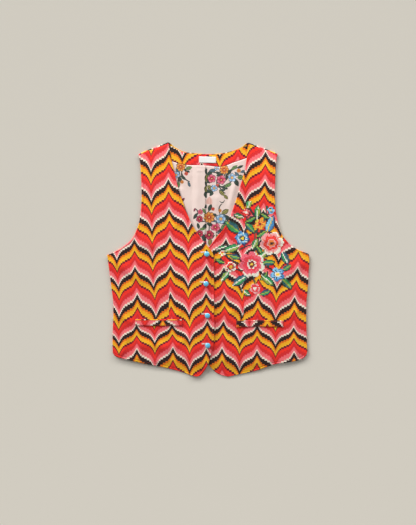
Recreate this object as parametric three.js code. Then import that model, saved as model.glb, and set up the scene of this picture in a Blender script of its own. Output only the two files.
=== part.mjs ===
// A buttoned V-neck waistcoat laid flat on its back: back, lining, neck facing, label, two fronts, welts, buttons.
// Millimetres. +Z is up, +Y runs to the shoulders, and the origin is on the floor under the outline's centre.
// Right and left are the wearer's, so the right front is at -X. It laps over the left front.
import * as THREE from "three";

const { smoothstep, lerp, clamp } = THREE.MathUtils;

// Thickness of each cloth wall, and the gap kept between pieces
const GAP = 0.3;
const BACK_WALL = 1.2;
const LINING_WALL = 1.0;
const FACING_WALL = 1.2;
const LABEL_WALL = 1.0;
const FRONT_WALL = 2.0;
const WELT_WALL = 1.6;

// Heights at which the layers lie
const INNER_FLOOR = BACK_WALL + GAP;
const FACING_TOP_HEIGHT = INNER_FLOOR + FACING_WALL;
const FRONT_FLOOR = FACING_TOP_HEIGHT + GAP;
const FRONT_TOP = FRONT_FLOOR + FRONT_WALL;
const SIDE_SEAM_HEIGHT = FRONT_TOP / 2 + 0.05;
const SIDE_ROLL = 2.4;
const SHOULDER_ROLL = 2.6;
const LAP_RISE = FRONT_WALL + 2 * GAP;

// Centre-back ease pleat of the lining, at its top and at the hem
const PLEAT_DEPTH = 20;
const PLEAT_EDGE_TOP = -6.6;
const PLEAT_EDGE_HEM = -12;
const PLEAT_LEVEL = LINING_WALL + GAP;
const PLEAT_RISE = 2 * PLEAT_LEVEL;
const PLEAT_RAMP = 14;
const LINING_INSET = { armhole: 1.5, side: 5, underarm: 3, hem: 8 };

// Fastening, label and darts
const BUTTON_RADIUS = 6.4;
const BUTTON_HEIGHT = 4.4;
const LABEL = { x: -2, y: 239, width: 41, height: 15 };
const DART_RISE = 0.7;
const DART_WIDTH = 2.5;

// Edges of the right front, from the shoulder down. The armhole and the neck start at the shoulder seam.
const RIGHT = {
  shoulder: [
    { x: -166.5, y: 252.6 },
    { x: -147, y: 262 },
    { x: -129, y: 268.2 },
    { x: -95.6, y: 281.5 },
  ],
  armhole: [
    { x: -163.6, y: 231.5 },
    { x: -160.8, y: 190 },
    { x: -160, y: 147 },
    { x: -161.6, y: 118 },
    { x: -165.5, y: 92 },
    { x: -171, y: 73.6 },
    { x: -178.2, y: 57.2 },
    { x: -188, y: 44 },
    { x: -211.3, y: 26 },
    { x: -229.6, y: 15.7 },
    { x: -242.5, y: 11 },
  ],
  side: [
    { x: -242.5, y: 11 },
    { x: -236.5, y: -35 },
    { x: -232.7, y: -65.6 },
    { x: -228.6, y: -98 },
    { x: -227.9, y: -127 },
    { x: -229, y: -165 },
    { x: -229.8, y: -205 },
    { x: -228.8, y: -224.3 },
  ],
  hem: [
    { x: -228.8, y: -224.3 },
    { x: -223.1, y: -232 },
    { x: -209.9, y: -236.8 },
    { x: -162, y: -248.3 },
    { x: -103, y: -259.8 },
    { x: -76, y: -266.3 },
    { x: -57, y: -272 },
    { x: -41.6, y: -277.8 },
    { x: -28.2, y: -281.2 },
  ],
  neck: [
    { x: -88.2, y: 239 },
    { x: -82, y: 213 },
    { x: -73.6, y: 176.5 },
    { x: -64.4, y: 147.2 },
    { x: -53.4, y: 117.7 },
    { x: -41.4, y: 88.4 },
    { x: -29.6, y: 68.3 },
    { x: -15.2, y: 46.9 },
    { x: 0, y: 30.4 },
    { x: 7, y: 21.5 },
    { x: 12, y: 11 },
    { x: 13.8, y: -3 },
  ],
  front: [
    { x: 13.8, y: -3 },
    { x: 14, y: -66 },
    { x: 14, y: -130 },
    { x: 14, y: -193 },
    { x: 7.5, y: -224 },
    { x: 0.1, y: -250 },
    { x: -9.5, y: -267 },
    { x: -19, y: -278 },
    { x: -28.2, y: -281.2 },
  ],
};

// Edges of the left front. Its front edge lies hidden under the right front.
const LEFT = {
  shoulder: [
    { x: 165.5, y: 253.5 },
    { x: 151.8, y: 259.5 },
    { x: 127.8, y: 268.6 },
    { x: 94.9, y: 280.4 },
  ],
  armhole: [
    { x: 162.8, y: 235.3 },
    { x: 160.9, y: 204 },
    { x: 160, y: 167.4 },
    { x: 160.9, y: 121.3 },
    { x: 164.5, y: 99.5 },
    { x: 170, y: 77.4 },
    { x: 176, y: 60 },
    { x: 187, y: 45.5 },
    { x: 201.2, y: 31.6 },
    { x: 217.8, y: 22.2 },
    { x: 240.5, y: 13.5 },
  ],
  side: [
    { x: 240.5, y: 13.5 },
    { x: 242.5, y: -1.3 },
    { x: 240.8, y: -27.5 },
    { x: 238.9, y: -65.9 },
    { x: 235.6, y: -100 },
    { x: 235, y: -140 },
    { x: 236, y: -181 },
    { x: 237, y: -219 },
  ],
  hem: [
    { x: 237, y: -219 },
    { x: 235.1, y: -228.6 },
    { x: 227.4, y: -237.2 },
    { x: 212, y: -243 },
    { x: 156.6, y: -252.4 },
    { x: 137.4, y: -259.1 },
    { x: 114.4, y: -266.8 },
    { x: 68.5, y: -276.4 },
    { x: 47.4, y: -281.2 },
  ],
  neck: [
    { x: 92, y: 244.4 },
    { x: 88.4, y: 218.8 },
    { x: 82, y: 194.8 },
    { x: 74.5, y: 169.1 },
    { x: 65.4, y: 139.8 },
    { x: 54.4, y: 108.6 },
    { x: 47.2, y: 92 },
    { x: 36.1, y: 73.6 },
    { x: 19.6, y: 53.4 },
    { x: 3, y: 31.3 },
    { x: -9, y: 18 },
    { x: -17, y: 7 },
    { x: -20.4, y: -5 },
  ],
  front: [
    { x: -20.4, y: -5 },
    { x: -20.4, y: -66 },
    { x: -20.4, y: -130 },
    { x: -20.4, y: -193 },
    { x: -13.5, y: -224 },
    { x: 0.1, y: -249.7 },
    { x: 8.8, y: -262.9 },
    { x: 18.4, y: -270.8 },
    { x: 30, y: -276.8 },
    { x: 47.4, y: -281.2 },
  ],
};

// Neck and hem of the back, and the two edges of its neck facing, from -X to +X
const BACK_NECK = [
  { x: -95.6, y: 281.5 },
  { x: -87.2, y: 274.7 },
  { x: -77.6, y: 267.5 },
  { x: -58.4, y: 258.4 },
  { x: -39.2, y: 255.6 },
  { x: 0, y: 252.6 },
  { x: 37.6, y: 255.5 },
  { x: 56.8, y: 260.3 },
  { x: 76, y: 267.5 },
  { x: 85.6, y: 273.6 },
  { x: 94.9, y: 280.4 },
];
const BACK_HEM = [
  { x: -228.8, y: -224.3 },
  { x: -218, y: -229 },
  { x: -150, y: -235 },
  { x: 0, y: -239 },
  { x: 150, y: -239 },
  { x: 220, y: -232 },
  { x: 237, y: -219 },
];
const FACING_UPPER = [
  { x: -98, y: 272.5 },
  { x: -87, y: 270.5 },
  { x: -77.6, y: 265 },
  { x: -58.4, y: 256.4 },
  { x: -39.2, y: 253.8 },
  { x: 0, y: 251 },
  { x: 37.6, y: 253.8 },
  { x: 56.8, y: 258.5 },
  { x: 76, y: 265 },
  { x: 87, y: 270.5 },
  { x: 98, y: 272.5 },
];
const FACING_LOWER = [
  { x: -98, y: 241.5 },
  { x: -79.3, y: 233.2 },
  { x: -54.8, y: 227.5 },
  { x: -4.2, y: 225.5 },
  { x: 29.4, y: 222.8 },
  { x: 46.2, y: 226.9 },
  { x: 58.4, y: 232 },
  { x: 75.2, y: 237.7 },
  { x: 98, y: 246.5 },
];

// Soft ridges of the cloth, each from its start to its end
const RIGHT_CREASES = [
  { x0: -228, y0: -2, x1: -140, y1: -62, rise: 1.6, width: 13 },
  { x0: -206, y0: -228, x1: -190, y1: -168, rise: 1.6, width: 9 },
  { x0: -168, y0: -240, x1: -160, y1: -180, rise: 1.3, width: 8 },
  { x0: -122, y0: -250, x1: -130, y1: -178, rise: 1.2, width: 9 },
  { x0: -28, y0: -162, x1: -80, y1: -214, rise: 1.0, width: 9 },
  { x0: -30, y0: -52, x1: -82, y1: -24, rise: 1.0, width: 10 },
  { x0: -148, y0: 236, x1: -132, y1: 132, rise: 1.0, width: 11 },
  { x0: -172, y0: 40, x1: -98, y1: 26, rise: 1.2, width: 12 },
];
const LEFT_CREASES = [
  { x0: 230, y0: -6, x1: 150, y1: -58, rise: 1.6, width: 13 },
  { x0: 212, y0: -232, x1: 198, y1: -176, rise: 1.4, width: 10 },
  { x0: 150, y0: -244, x1: 158, y1: -184, rise: 1.2, width: 9 },
  { x0: 74, y0: -262, x1: 66, y1: -190, rise: 1.2, width: 10 },
  { x0: 44, y0: -128, x1: 96, y1: -112, rise: 0.9, width: 9 },
  { x0: 40, y0: -20, x1: 96, y1: 8, rise: 1.0, width: 11 },
  { x0: 146, y0: 232, x1: 134, y1: 140, rise: 1.0, width: 11 },
  { x0: 176, y0: 42, x1: 108, y1: 50, rise: 1.1, width: 12 },
];

// Darts, welts and buttons, each by its place on its front
const DARTS = {
  right: { x: -91, top: -56, bottom: -126 },
  left: { x: 84, top: -58, bottom: -128 },
};
const WELTS = [
  { name: "welt_right", side: "right", x: -118.4, y: -151.2, length: 112.8, height: 15.2, tilt: -0.004, bow: 0 },
  { name: "welt_left", side: "left", x: 123.2, y: -154.8, length: 112.4, height: 15.4, tilt: 0.006, bow: 1.6 },
];
const BUTTONS = [
  { name: "button_1", x: -3.7, y: 12.8 },
  { name: "button_2", x: -5.5, y: -58.3 },
  { name: "button_3", x: -2, y: -134.5 },
  { name: "button_4", x: -1.3, y: -206 },
];

const MATERIALS = {
  cloth: new THREE.MeshStandardMaterial({ color: 0xd9532f, roughness: 0.85 }),
  lining: new THREE.MeshStandardMaterial({ color: 0xe9d6cb, roughness: 0.8 }),
  label: new THREE.MeshStandardMaterial({ color: 0xf4f2ee, roughness: 0.6 }),
  button: new THREE.MeshStandardMaterial({ color: 0x5fcdf0, roughness: 0.25 }),
};

const spread = (from, to, steps) => Array.from({ length: steps + 1 }, (_, k) => lerp(from, to, k / steps));
const shifted = (rows, dx, dy) => rows.map(({ x, y }) => ({ x: x + dx, y: y + dy }));
const lastOf = (rows) => rows[rows.length - 1];

// A smooth line through the rows of a table, read by its share of the length.
function lineThrough(rows) {
  const points = rows.map(({ x, y }) => new THREE.Vector3(x, y, 0));
  const curve = new THREE.CatmullRomCurve3(points, false, "centripetal");
  return (share) => curve.getPointAt(clamp(share, 0, 1));
}

// Lines laid end to end, where ends gives the share of the way at which each one stops.
function chain(lines, ends) {
  return (share) => {
    const k = Math.max(0, ends.findIndex((end) => share <= end + 1e-9));
    const start = k ? ends[k - 1] : 0;
    return lines[k]((share - start) / (ends[k] - start));
  };
}

// The plan of a four-sided panel, blended between its edges: u runs from left to right, v from top to bottom.
function panelBetween({ left, right, top, bottom }) {
  const corners = [top(0), top(1), bottom(0), bottom(1)];
  return (u, v) => {
    const point = left(v).multiplyScalar(1 - u).addScaledVector(right(v), u);
    point.addScaledVector(top(u), 1 - v).addScaledVector(bottom(u), v);
    point.addScaledVector(corners[0], -(1 - u) * (1 - v)).addScaledVector(corners[1], -u * (1 - v));
    return point.addScaledVector(corners[2], -(1 - u) * v).addScaledVector(corners[3], -u * v);
  };
}

// The u at which a panel's row v crosses x.
function columnAt(panel, v, x) {
  let low = 0;
  let high = 1;
  for (let step = 0; step < 40; step++) {
    const middle = (low + high) / 2;
    if (panel(middle, v).x < x) low = middle;
    else high = middle;
  }
  return (low + high) / 2;
}

// The value of one column of a table at a value of another, between its rows.
function readTable(rows, key, at, wanted) {
  const sorted = [...rows].sort((a, b) => a[key] - b[key]);
  const after = sorted.findIndex((row) => row[key] >= at);
  if (after < 0) return lastOf(sorted)[wanted];
  if (after === 0) return sorted[0][wanted];
  const before = sorted[after - 1];
  const share = (at - before[key]) / (sorted[after][key] - before[key]);
  return lerp(before[wanted], sorted[after][wanted], share);
}

// The direction of a line of points at one of them. At its ends the bend of the next two points is carried on.
function directionAt(points, k) {
  const past = (a, b, c) => a.clone().sub(b).multiplyScalar(3).add(c);
  const last = points.length - 1;
  const before = k > 0 ? points[k - 1] : past(points[0], points[1], points[2]);
  const after = k < last ? points[k + 1] : past(points[last], points[last - 1], points[last - 2]);
  return after.clone().sub(before);
}

// Unit normals of a grid of points.
function normalsOf(grid) {
  const columns = grid[0].map((_, j) => grid.map((row) => row[j]));
  return grid.map((row, i) =>
    row.map((_, j) => directionAt(columns[j], i).cross(directionAt(row, j)).normalize()),
  );
}

// A closed cloth wall between two skins of a grid, each moved along the normals by its own distance.
function wall(grid, first, second) {
  const normals = normalsOf(grid);
  const rows = grid.length;
  const columns = grid[0].length;
  const moved = (i, j, distance) => grid[i][j].clone().addScaledVector(normals[i][j], distance).toArray();
  const positions = [first, second].flatMap((distance) =>
    grid.flatMap((row, i) => row.flatMap((_, j) => moved(i, j, distance))),
  );
  const index = [];
  const quad = (a, b, c, d) => index.push(a, b, c, a, c, d);
  const near = (i, j) => i * columns + j;
  const far = (i, j) => rows * columns + near(i, j);
  for (let i = 0; i < rows - 1; i++) {
    for (let j = 0; j < columns - 1; j++) {
      quad(near(i, j), near(i + 1, j), near(i + 1, j + 1), near(i, j + 1));
      quad(far(i, j), far(i, j + 1), far(i + 1, j + 1), far(i + 1, j));
    }
    quad(near(i, 0), far(i, 0), far(i + 1, 0), near(i + 1, 0));
    quad(near(i, columns - 1), near(i + 1, columns - 1), far(i + 1, columns - 1), far(i, columns - 1));
  }
  for (let j = 0; j < columns - 1; j++) {
    quad(near(0, j), near(0, j + 1), far(0, j + 1), far(0, j));
    quad(near(rows - 1, j), far(rows - 1, j), far(rows - 1, j + 1), near(rows - 1, j + 1));
  }
  return facingOut(positions, index);
}

// A geometry of the triangles, turned round if they face inwards.
function facingOut(positions, index) {
  const geometry = new THREE.BufferGeometry();
  geometry.setAttribute("position", new THREE.Float32BufferAttribute(positions, 3));
  const corner = (k) => new THREE.Vector3().fromArray(positions, index[k] * 3);
  let volume = 0;
  for (let k = 0; k < index.length; k += 3) volume += corner(k).dot(corner(k + 1).cross(corner(k + 2)));
  geometry.setIndex(volume < 0 ? [...index].reverse() : index);
  geometry.computeVertexNormals();
  return geometry;
}

// Height of the soft ridges of a table over the point.
function ridges(creases, x, y) {
  return creases.reduce((sum, { x0, y0, x1, y1, rise, width }) => {
    const length = Math.hypot(x1 - x0, y1 - y0);
    const along = ((x - x0) * (x1 - x0) + (y - y0) * (y1 - y0)) / length;
    const aside = ((x - x0) * (y1 - y0) - (y - y0) * (x1 - x0)) / length;
    const ends = smoothstep(along, -width, width) * (1 - smoothstep(along, length * 0.55, length + width));
    return sum + rise * ends * Math.exp(-((aside / width) ** 2));
  }, 0);
}

// How far the folded pleat below lifts what lies on it, rising and falling clear of the folds.
function pleatLift(x) {
  const back = PLEAT_EDGE_HEM - PLEAT_DEPTH;
  const up = smoothstep(x, back - 22, back - 4);
  const down = smoothstep(x, PLEAT_EDGE_HEM + 8, PLEAT_EDGE_HEM + 28);
  return PLEAT_RISE * (up - down);
}

// How far a front sinks towards the floor past the hem of the back.
function hemDrop(x, y) {
  return (FRONT_FLOOR - GAP) * smoothstep(readTable(BACK_HEM, "x", x, "y") - y, 5, 34);
}

// The dart's pressed tuck.
function dartRise({ x: centre, top, bottom }, x, y) {
  const ends = smoothstep(top - y, 0, 30) * (1 - smoothstep(bottom - y, -4, 4));
  return DART_RISE * ends * Math.exp(-(((x - centre) / DART_WIDTH) ** 2));
}

// How far the right front rises to lie on the left one.
function lapLift(x, y) {
  const edge = readTable([...LEFT.neck, ...LEFT.front.slice(1)], "y", y, "x");
  return LAP_RISE * smoothstep(x - edge, -36, -14);
}

// Cloth stays flat under and around the fastening.
const clearOfButtons = (x) => smoothstep(Math.abs(x - BUTTONS[0].x), 22, 46);

const FRONT_HEIGHTS = {
  right: (x, y) =>
    FRONT_TOP +
    pleatLift(x) -
    hemDrop(x, y) +
    lapLift(x, y) +
    dartRise(DARTS.right, x, y) +
    ridges(RIGHT_CREASES, x, y) * clearOfButtons(x),
  left: (x, y) =>
    FRONT_TOP +
    pleatLift(x) -
    hemDrop(x, y) +
    dartRise(DARTS.left, x, y) +
    ridges(LEFT_CREASES, x, y) * clearOfButtons(x),
};

// Share of the way, along a side of the body, where the underarm corner lies.
const UNDERARM = 0.5;

// Share of the full roll at a row: the cloth rolls over the side seam only, not at armhole or hem.
const rollShare = (v) => smoothstep(v, UNDERARM, UNDERARM + 0.04) * (1 - smoothstep(v, 0.95, 1));

// Height share of a quarter round at a distance from its edge.
const roundOver = (distance) => Math.sqrt(1 - (1 - Math.min(distance, SIDE_ROLL) / SIDE_ROLL) ** 2);

const armholeAndSide = (edges, start) =>
  chain([lineThrough([start, ...edges.armhole]), lineThrough(edges.side)], [UNDERARM, 1]);

// Columns of a front: close over the side roll, a group of three at the dart, and close again in the lap.
const ROLL_COLUMNS = [0, 0.15, 0.5, 1].map((share) => (share * SIDE_ROLL) / 244);
const DART_COLUMNS = [0.556, 0.57, 0.584];
const FRONT_COLUMNS = [...ROLL_COLUMNS, ...spread(0.03, 0.5, 5), ...DART_COLUMNS, ...spread(0.66, 1, 9)];
const FRONT_ROWS = [
  ...spread(0, 0.34, 7),
  ...spread(0.38, UNDERARM, 4),
  0.52,
  0.54,
  ...spread(0.58, 0.91, 6),
  0.94,
  0.97,
  1,
];
const BACK_ROWS = [...spread(0, UNDERARM, 8), 0.52, 0.54, ...spread(0.6, 0.9, 4), 0.95, 1];

function frontGeometry(edges, height) {
  const shoulder = shifted(edges.shoulder, 0, -(SHOULDER_ROLL + GAP));
  const plan = panelBetween({
    left: armholeAndSide(edges, shoulder[0]),
    right: chain([lineThrough([lastOf(shoulder), ...edges.neck]), lineThrough(edges.front)], [UNDERARM, 1]),
    top: lineThrough(shoulder),
    bottom: lineThrough(edges.hem),
  });
  const seam = SIDE_SEAM_HEIGHT + GAP / 2;
  const grid = FRONT_ROWS.map((v) =>
    FRONT_COLUMNS.map((u) => {
      const point = plan(u, v);
      const flat = height(point.x, point.y);
      const rolled = lerp(seam, flat, roundOver(point.distanceTo(plan(0, v))));
      return point.setZ(lerp(flat, rolled, rollShare(v)));
    }),
  );
  const upright = Math.sign(normalsOf(grid)[0][0].z);
  return wall(grid, 0, -FRONT_WALL * upright);
}

// The back turns over the shoulder ridge to meet the fronts, and lies plain at the neck.
const NECK_COLUMNS = { start: 0.235, end: 0.765 };
const NECK_FADE = 0.03;
const BACK_COLUMNS = [0.03, 0.08, 0.155, 0.235, 0.25, 0.265, 0.33, 0.4, 0.46];
const CURL_STEPS = 5;

function backGeometry() {
  const top = chain(
    [RIGHT.shoulder, BACK_NECK, [...LEFT.shoulder].reverse()].map(lineThrough),
    [NECK_COLUMNS.start, NECK_COLUMNS.end, 1],
  );
  const inset = (u) => top(u).sub(new THREE.Vector3(0, SHOULDER_ROLL, 0));
  const plan = panelBetween({
    left: armholeAndSide(RIGHT, inset(0)),
    right: armholeAndSide(LEFT, inset(1)),
    top: inset,
    bottom: lineThrough(BACK_HEM),
  });
  const half = [...ROLL_COLUMNS.map((u) => u / 2), ...BACK_COLUMNS];
  const columns = [...half, ...half.map((u) => 1 - u).reverse()];
  const seam = SIDE_SEAM_HEIGHT - GAP / 2;
  const body = BACK_ROWS.map((v) =>
    columns.map((u) => {
      const point = plan(u, v);
      const edge = Math.min(point.distanceTo(plan(0, v)), point.distanceTo(plan(1, v)));
      return point.setZ(seam * (1 - roundOver(edge)) * rollShare(v));
    }),
  );
  return wall([...shoulderCurl(columns, inset), ...body], 0, BACK_WALL);
}

// Rows of the back past the shoulder's foot, from the free end of the curl down to the panel.
function shoulderCurl(columns, foot) {
  return spread(1, 1 / CURL_STEPS, CURL_STEPS - 1).map((share) =>
    columns.map((u) => {
      const { start, end } = NECK_COLUMNS;
      const turned = 1 - smoothstep(u, start, start + NECK_FADE) * (1 - smoothstep(u, end - NECK_FADE, end));
      const length = SHOULDER_ROLL * lerp(1, Math.PI, turned);
      const turn = Math.max(Math.PI * turned, 1e-3);
      const radius = length / turn;
      const rise = new THREE.Vector3(0, radius * Math.sin(turn * share), radius * (1 - Math.cos(turn * share)));
      return foot(u).add(rise);
    }),
  );
}

// Middle line of the pleat's folded section, as distances from its edge and heights over the flat lining.
function pleatSection() {
  const bend = PLEAT_LEVEL / 2;
  const turn = (centre, height, direction) =>
    [1, 2, 3].map((k) => ({
      x: centre + direction * bend * Math.sin((k * Math.PI) / 4),
      z: height + bend * Math.cos((k * Math.PI) / 4),
    }));
  const back = -PLEAT_DEPTH;
  return [
    { x: back - PLEAT_RAMP, z: 0 },
    { x: back - PLEAT_RAMP * 0.62, z: PLEAT_RISE * 0.3 },
    { x: back - PLEAT_RAMP * 0.35, z: PLEAT_RISE * 0.75 },
    { x: back - 2, z: PLEAT_RISE },
    { x: back / 2, z: PLEAT_RISE },
    { x: -bend, z: PLEAT_RISE },
    ...turn(-bend, PLEAT_RISE - bend, 1),
    { x: -bend, z: PLEAT_LEVEL },
    { x: back / 2, z: PLEAT_LEVEL },
    { x: back + bend, z: PLEAT_LEVEL },
    ...turn(back + bend, bend, -1),
    { x: back + bend, z: 0 },
    { x: back / 2, z: 0 },
    { x: 4, z: 0 },
  ];
}

// The lining's side lies a little inside the armhole, and further inside the side seam.
function liningSide(edges, corner, inward) {
  const { armhole, side, underarm } = LINING_INSET;
  const upper = shifted(edges.armhole.slice(0, -1), armhole * inward, -armhole);
  const lower = shifted(edges.side.slice(0, -1), side * inward, -underarm);
  return chain([lineThrough([corner, ...upper, lower[0]]), lineThrough(lower)], [UNDERARM, 1]);
}

// The lining's upper edge runs along the shoulders, down the facing's ends and along the facing.
const LINING_CORNERS = { right: { x: -160, y: 244 }, left: { x: 159.5, y: 245 } };
const FACING_ENDS = { right: { x: -99, y: 268 }, left: { x: 99, y: 268 } };
const LINING_BREAKS = [0.2, 0.25, 0.75, 0.8, 1];

function liningTop() {
  const seam = shifted(FACING_LOWER, 0, -2 * GAP);
  seam[0].x = FACING_ENDS.right.x;
  lastOf(seam).x = FACING_ENDS.left.x;
  const stretches = [
    [LINING_CORNERS.right, FACING_ENDS.right],
    [FACING_ENDS.right, seam[0]],
    seam,
    [lastOf(seam), FACING_ENDS.left],
    [FACING_ENDS.left, LINING_CORNERS.left],
  ];
  return chain(stretches.map(lineThrough), LINING_BREAKS);
}

// Columns beside the pleat, along the upper edge. They keep its corners and stay close along the facing.
const LINING_COLUMNS = {
  right: [0, 0.1, LINING_BREAKS[0], LINING_BREAKS[1], 0.31, 0.36],
  left: [0.545, 0.57, 0.595, 0.62, 0.67, LINING_BREAKS[2], LINING_BREAKS[3], 0.9, 1],
};
const LINING_ROWS = [...spread(0, UNDERARM, 8), ...spread(0.56, 1, 6)];

function liningGeometry() {
  const left = liningSide(RIGHT, LINING_CORNERS.right, 1);
  const right = liningSide(LEFT, LINING_CORNERS.left, -1);
  const hem = shifted(BACK_HEM.slice(1, -1), 0, LINING_INSET.hem);
  const plan = panelBetween({ left, right, top: liningTop(), bottom: lineThrough([left(1), ...hem, right(1)]) });
  const section = pleatSection();
  const edgeAt = (v) => lerp(PLEAT_EDGE_TOP, PLEAT_EDGE_HEM, v);
  const foldAt = (v) => [section[0], lastOf(section)].map(({ x }) => columnAt(plan, v, edgeAt(v) + x));
  const [firstStart, firstEnd] = foldAt(0);
  const middle = INNER_FLOOR + LINING_WALL / 2;
  const grid = LINING_ROWS.map((v) => {
    const [start, end] = foldAt(v);
    const columns = [
      ...LINING_COLUMNS.right.map((u) => ({ u: (u / firstStart) * start, z: 0 })),
      ...section.map(({ x, z }) => ({ u: columnAt(plan, v, edgeAt(v) + x), z })),
      ...LINING_COLUMNS.left.map((u) => ({ u: lerp(end, 1, (u - firstEnd) / (1 - firstEnd)), z: 0 })),
    ];
    return columns.map(({ u, z }) => plan(u, v).setZ(middle + z));
  });
  return wall(grid, -LINING_WALL / 2, LINING_WALL / 2);
}

function facingGeometry() {
  const plan = panelBetween({
    left: lineThrough([FACING_UPPER[0], FACING_LOWER[0]]),
    right: lineThrough([lastOf(FACING_UPPER), lastOf(FACING_LOWER)]),
    top: lineThrough(FACING_UPPER),
    bottom: lineThrough(FACING_LOWER),
  });
  const grid = spread(0, 1, 3).map((v) => spread(0, 1, 18).map((u) => plan(u, v).setZ(INNER_FLOOR)));
  return wall(grid, 0, FACING_WALL);
}

// A flat strip of cloth of its own size, laid on the heights of what carries it.
function stripGeometry({ x, y, length, height, tilt, bow, floor, thickness }) {
  const grid = spread(0.5, -0.5, 3).map((across) =>
    spread(-0.5, 0.5, 14).map((along) => {
      const px = x + along * length;
      const py = y + across * height + along * length * tilt + bow * (1 - 4 * along * along);
      return new THREE.Vector3(px, py, floor(px, py) + GAP);
    }),
  );
  return wall(grid, 0, thickness);
}

function labelGeometry() {
  const { x, y, width, height } = LABEL;
  const floor = () => FACING_TOP_HEIGHT;
  return stripGeometry({ x, y, length: width, height, tilt: 0, bow: 0, floor, thickness: LABEL_WALL });
}

// A domed button with a rounded rim, standing on the cloth at its centre.
function buttonMesh({ name, x, y }) {
  const rim = BUTTON_HEIGHT * 0.3;
  const under = [
    [0, 0],
    [BUTTON_RADIUS * 0.78, 0],
    [BUTTON_RADIUS * 0.95, rim * 0.4],
    [BUTTON_RADIUS, rim],
  ];
  const dome = spread(0.25, 0.75, 2).map((share) => {
    const angle = (share * Math.PI) / 2;
    return [BUTTON_RADIUS * Math.cos(angle), rim + (BUTTON_HEIGHT - rim) * Math.sin(angle)];
  });
  dome.push([0, BUTTON_HEIGHT]);
  const profile = [...under, ...dome].map(([radius, height]) => new THREE.Vector2(radius, height));
  const lathe = new THREE.LatheGeometry(profile, 18).rotateX(Math.PI / 2);
  const mesh = pieceMesh(name, lathe, MATERIALS.button);
  const reach = BUTTON_RADIUS * 0.78;
  const around = [-reach, 0, reach].flatMap((d) => [FRONT_HEIGHTS.right(x + d, y), FRONT_HEIGHTS.right(x, y + d)]);
  mesh.position.set(x, y, Math.max(...around) + GAP);
  return mesh;
}

function pieceMesh(name, geometry, material) {
  const mesh = new THREE.Mesh(geometry, material);
  mesh.name = name;
  return mesh;
}

function weltMesh(row) {
  const floor = FRONT_HEIGHTS[row.side];
  return pieceMesh(row.name, stripGeometry({ ...row, floor, thickness: WELT_WALL }), MATERIALS.cloth);
}

const waistcoat = new THREE.Group();
waistcoat.name = "waistcoat";
waistcoat.add(
  pieceMesh("back_panel", backGeometry(), MATERIALS.cloth),
  pieceMesh("back_lining", liningGeometry(), MATERIALS.lining),
  pieceMesh("back_neck_facing", facingGeometry(), MATERIALS.cloth),
  pieceMesh("neck_label", labelGeometry(), MATERIALS.label),
  pieceMesh("front_left", frontGeometry(LEFT, FRONT_HEIGHTS.left), MATERIALS.cloth),
  pieceMesh("front_right", frontGeometry(RIGHT, FRONT_HEIGHTS.right), MATERIALS.cloth),
  ...WELTS.map(weltMesh),
  ...BUTTONS.map(buttonMesh),
);

export default waistcoat;
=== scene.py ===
"""A buttoned V-neck waistcoat laid flat: cloth shells, print, embroidery, sewing and buttons.

Plan sizes are in millimetres until a mesh is finished. +Z is up, +Y runs to the shoulders, and
right and left are the wearer's, so the right front lies at -X and laps over the left one.
"""

import bisect
import itertools
import logging
import math
import random
from collections.abc import Callable, Iterable, Sequence
from dataclasses import dataclass, field
from enum import Enum

import bmesh
import bpy
from mathutils import Matrix, Vector, noise
from mathutils.kdtree import KDTree

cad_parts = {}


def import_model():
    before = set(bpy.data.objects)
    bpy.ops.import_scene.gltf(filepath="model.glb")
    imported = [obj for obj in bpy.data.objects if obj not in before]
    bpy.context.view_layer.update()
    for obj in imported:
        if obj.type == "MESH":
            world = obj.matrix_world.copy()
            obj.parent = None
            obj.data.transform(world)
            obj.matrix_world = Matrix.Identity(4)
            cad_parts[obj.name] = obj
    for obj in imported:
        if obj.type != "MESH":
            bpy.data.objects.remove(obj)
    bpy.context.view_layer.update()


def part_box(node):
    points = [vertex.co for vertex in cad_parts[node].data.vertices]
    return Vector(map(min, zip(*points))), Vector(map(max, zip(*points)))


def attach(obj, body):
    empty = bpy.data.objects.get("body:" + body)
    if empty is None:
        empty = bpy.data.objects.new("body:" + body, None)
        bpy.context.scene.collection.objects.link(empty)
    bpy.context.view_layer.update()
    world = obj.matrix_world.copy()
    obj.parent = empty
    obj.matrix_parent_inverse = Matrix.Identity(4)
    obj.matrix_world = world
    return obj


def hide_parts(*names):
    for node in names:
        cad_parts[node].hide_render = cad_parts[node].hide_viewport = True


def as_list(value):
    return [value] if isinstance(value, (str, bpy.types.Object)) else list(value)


log = logging.getLogger("waistcoat")

MM = 0.001
BODY = "root"
Rows = tuple[tuple[float, float], ...]
Line = Callable[[float], Vector]
Colour = tuple[float, float, float, float]
Floor = Callable[[float, float], float]
Skin = bmesh.types.BMesh
Piece = bpy.types.Object
Material = bpy.types.Material
Tree = bpy.types.NodeTree
Socket = bpy.types.NodeSocket
Outputs = bpy.types.NodeOutputs

# Thickness of each cloth wall, the gap between pieces, and the heights at which the layers lie
GAP = 0.3
BACK_WALL = 1.2
LINING_WALL = 1.0
FACING_WALL = 1.2
LABEL_WALL = 1.0
FRONT_WALL = 2.0
FRONT_SHELL = FRONT_WALL * 0.8
WELT_WALL = 1.6
INNER_FLOOR = BACK_WALL + GAP
FACING_TOP = INNER_FLOOR + FACING_WALL
FRONT_FLOOR = FACING_TOP + GAP
FRONT_TOP = FRONT_FLOOR + FRONT_WALL
SIDE_SEAM_HEIGHT = FRONT_TOP / 2 + 0.05
SIDE_ROLL = 2.4
SHOULDER_ROLL = 2.6
LAP_RISE = FRONT_WALL + 2 * GAP
UNDERARM = 0.5

# Centre-back ease pleat of the lining
PLEAT_DEPTH = 20.0
PLEAT_EDGE_TOP = -6.6
PLEAT_EDGE_HEM = -12.0
PLEAT_LEVEL = LINING_WALL + GAP
PLEAT_RISE = 2 * PLEAT_LEVEL
PLEAT_RAMP = 14.0

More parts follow.
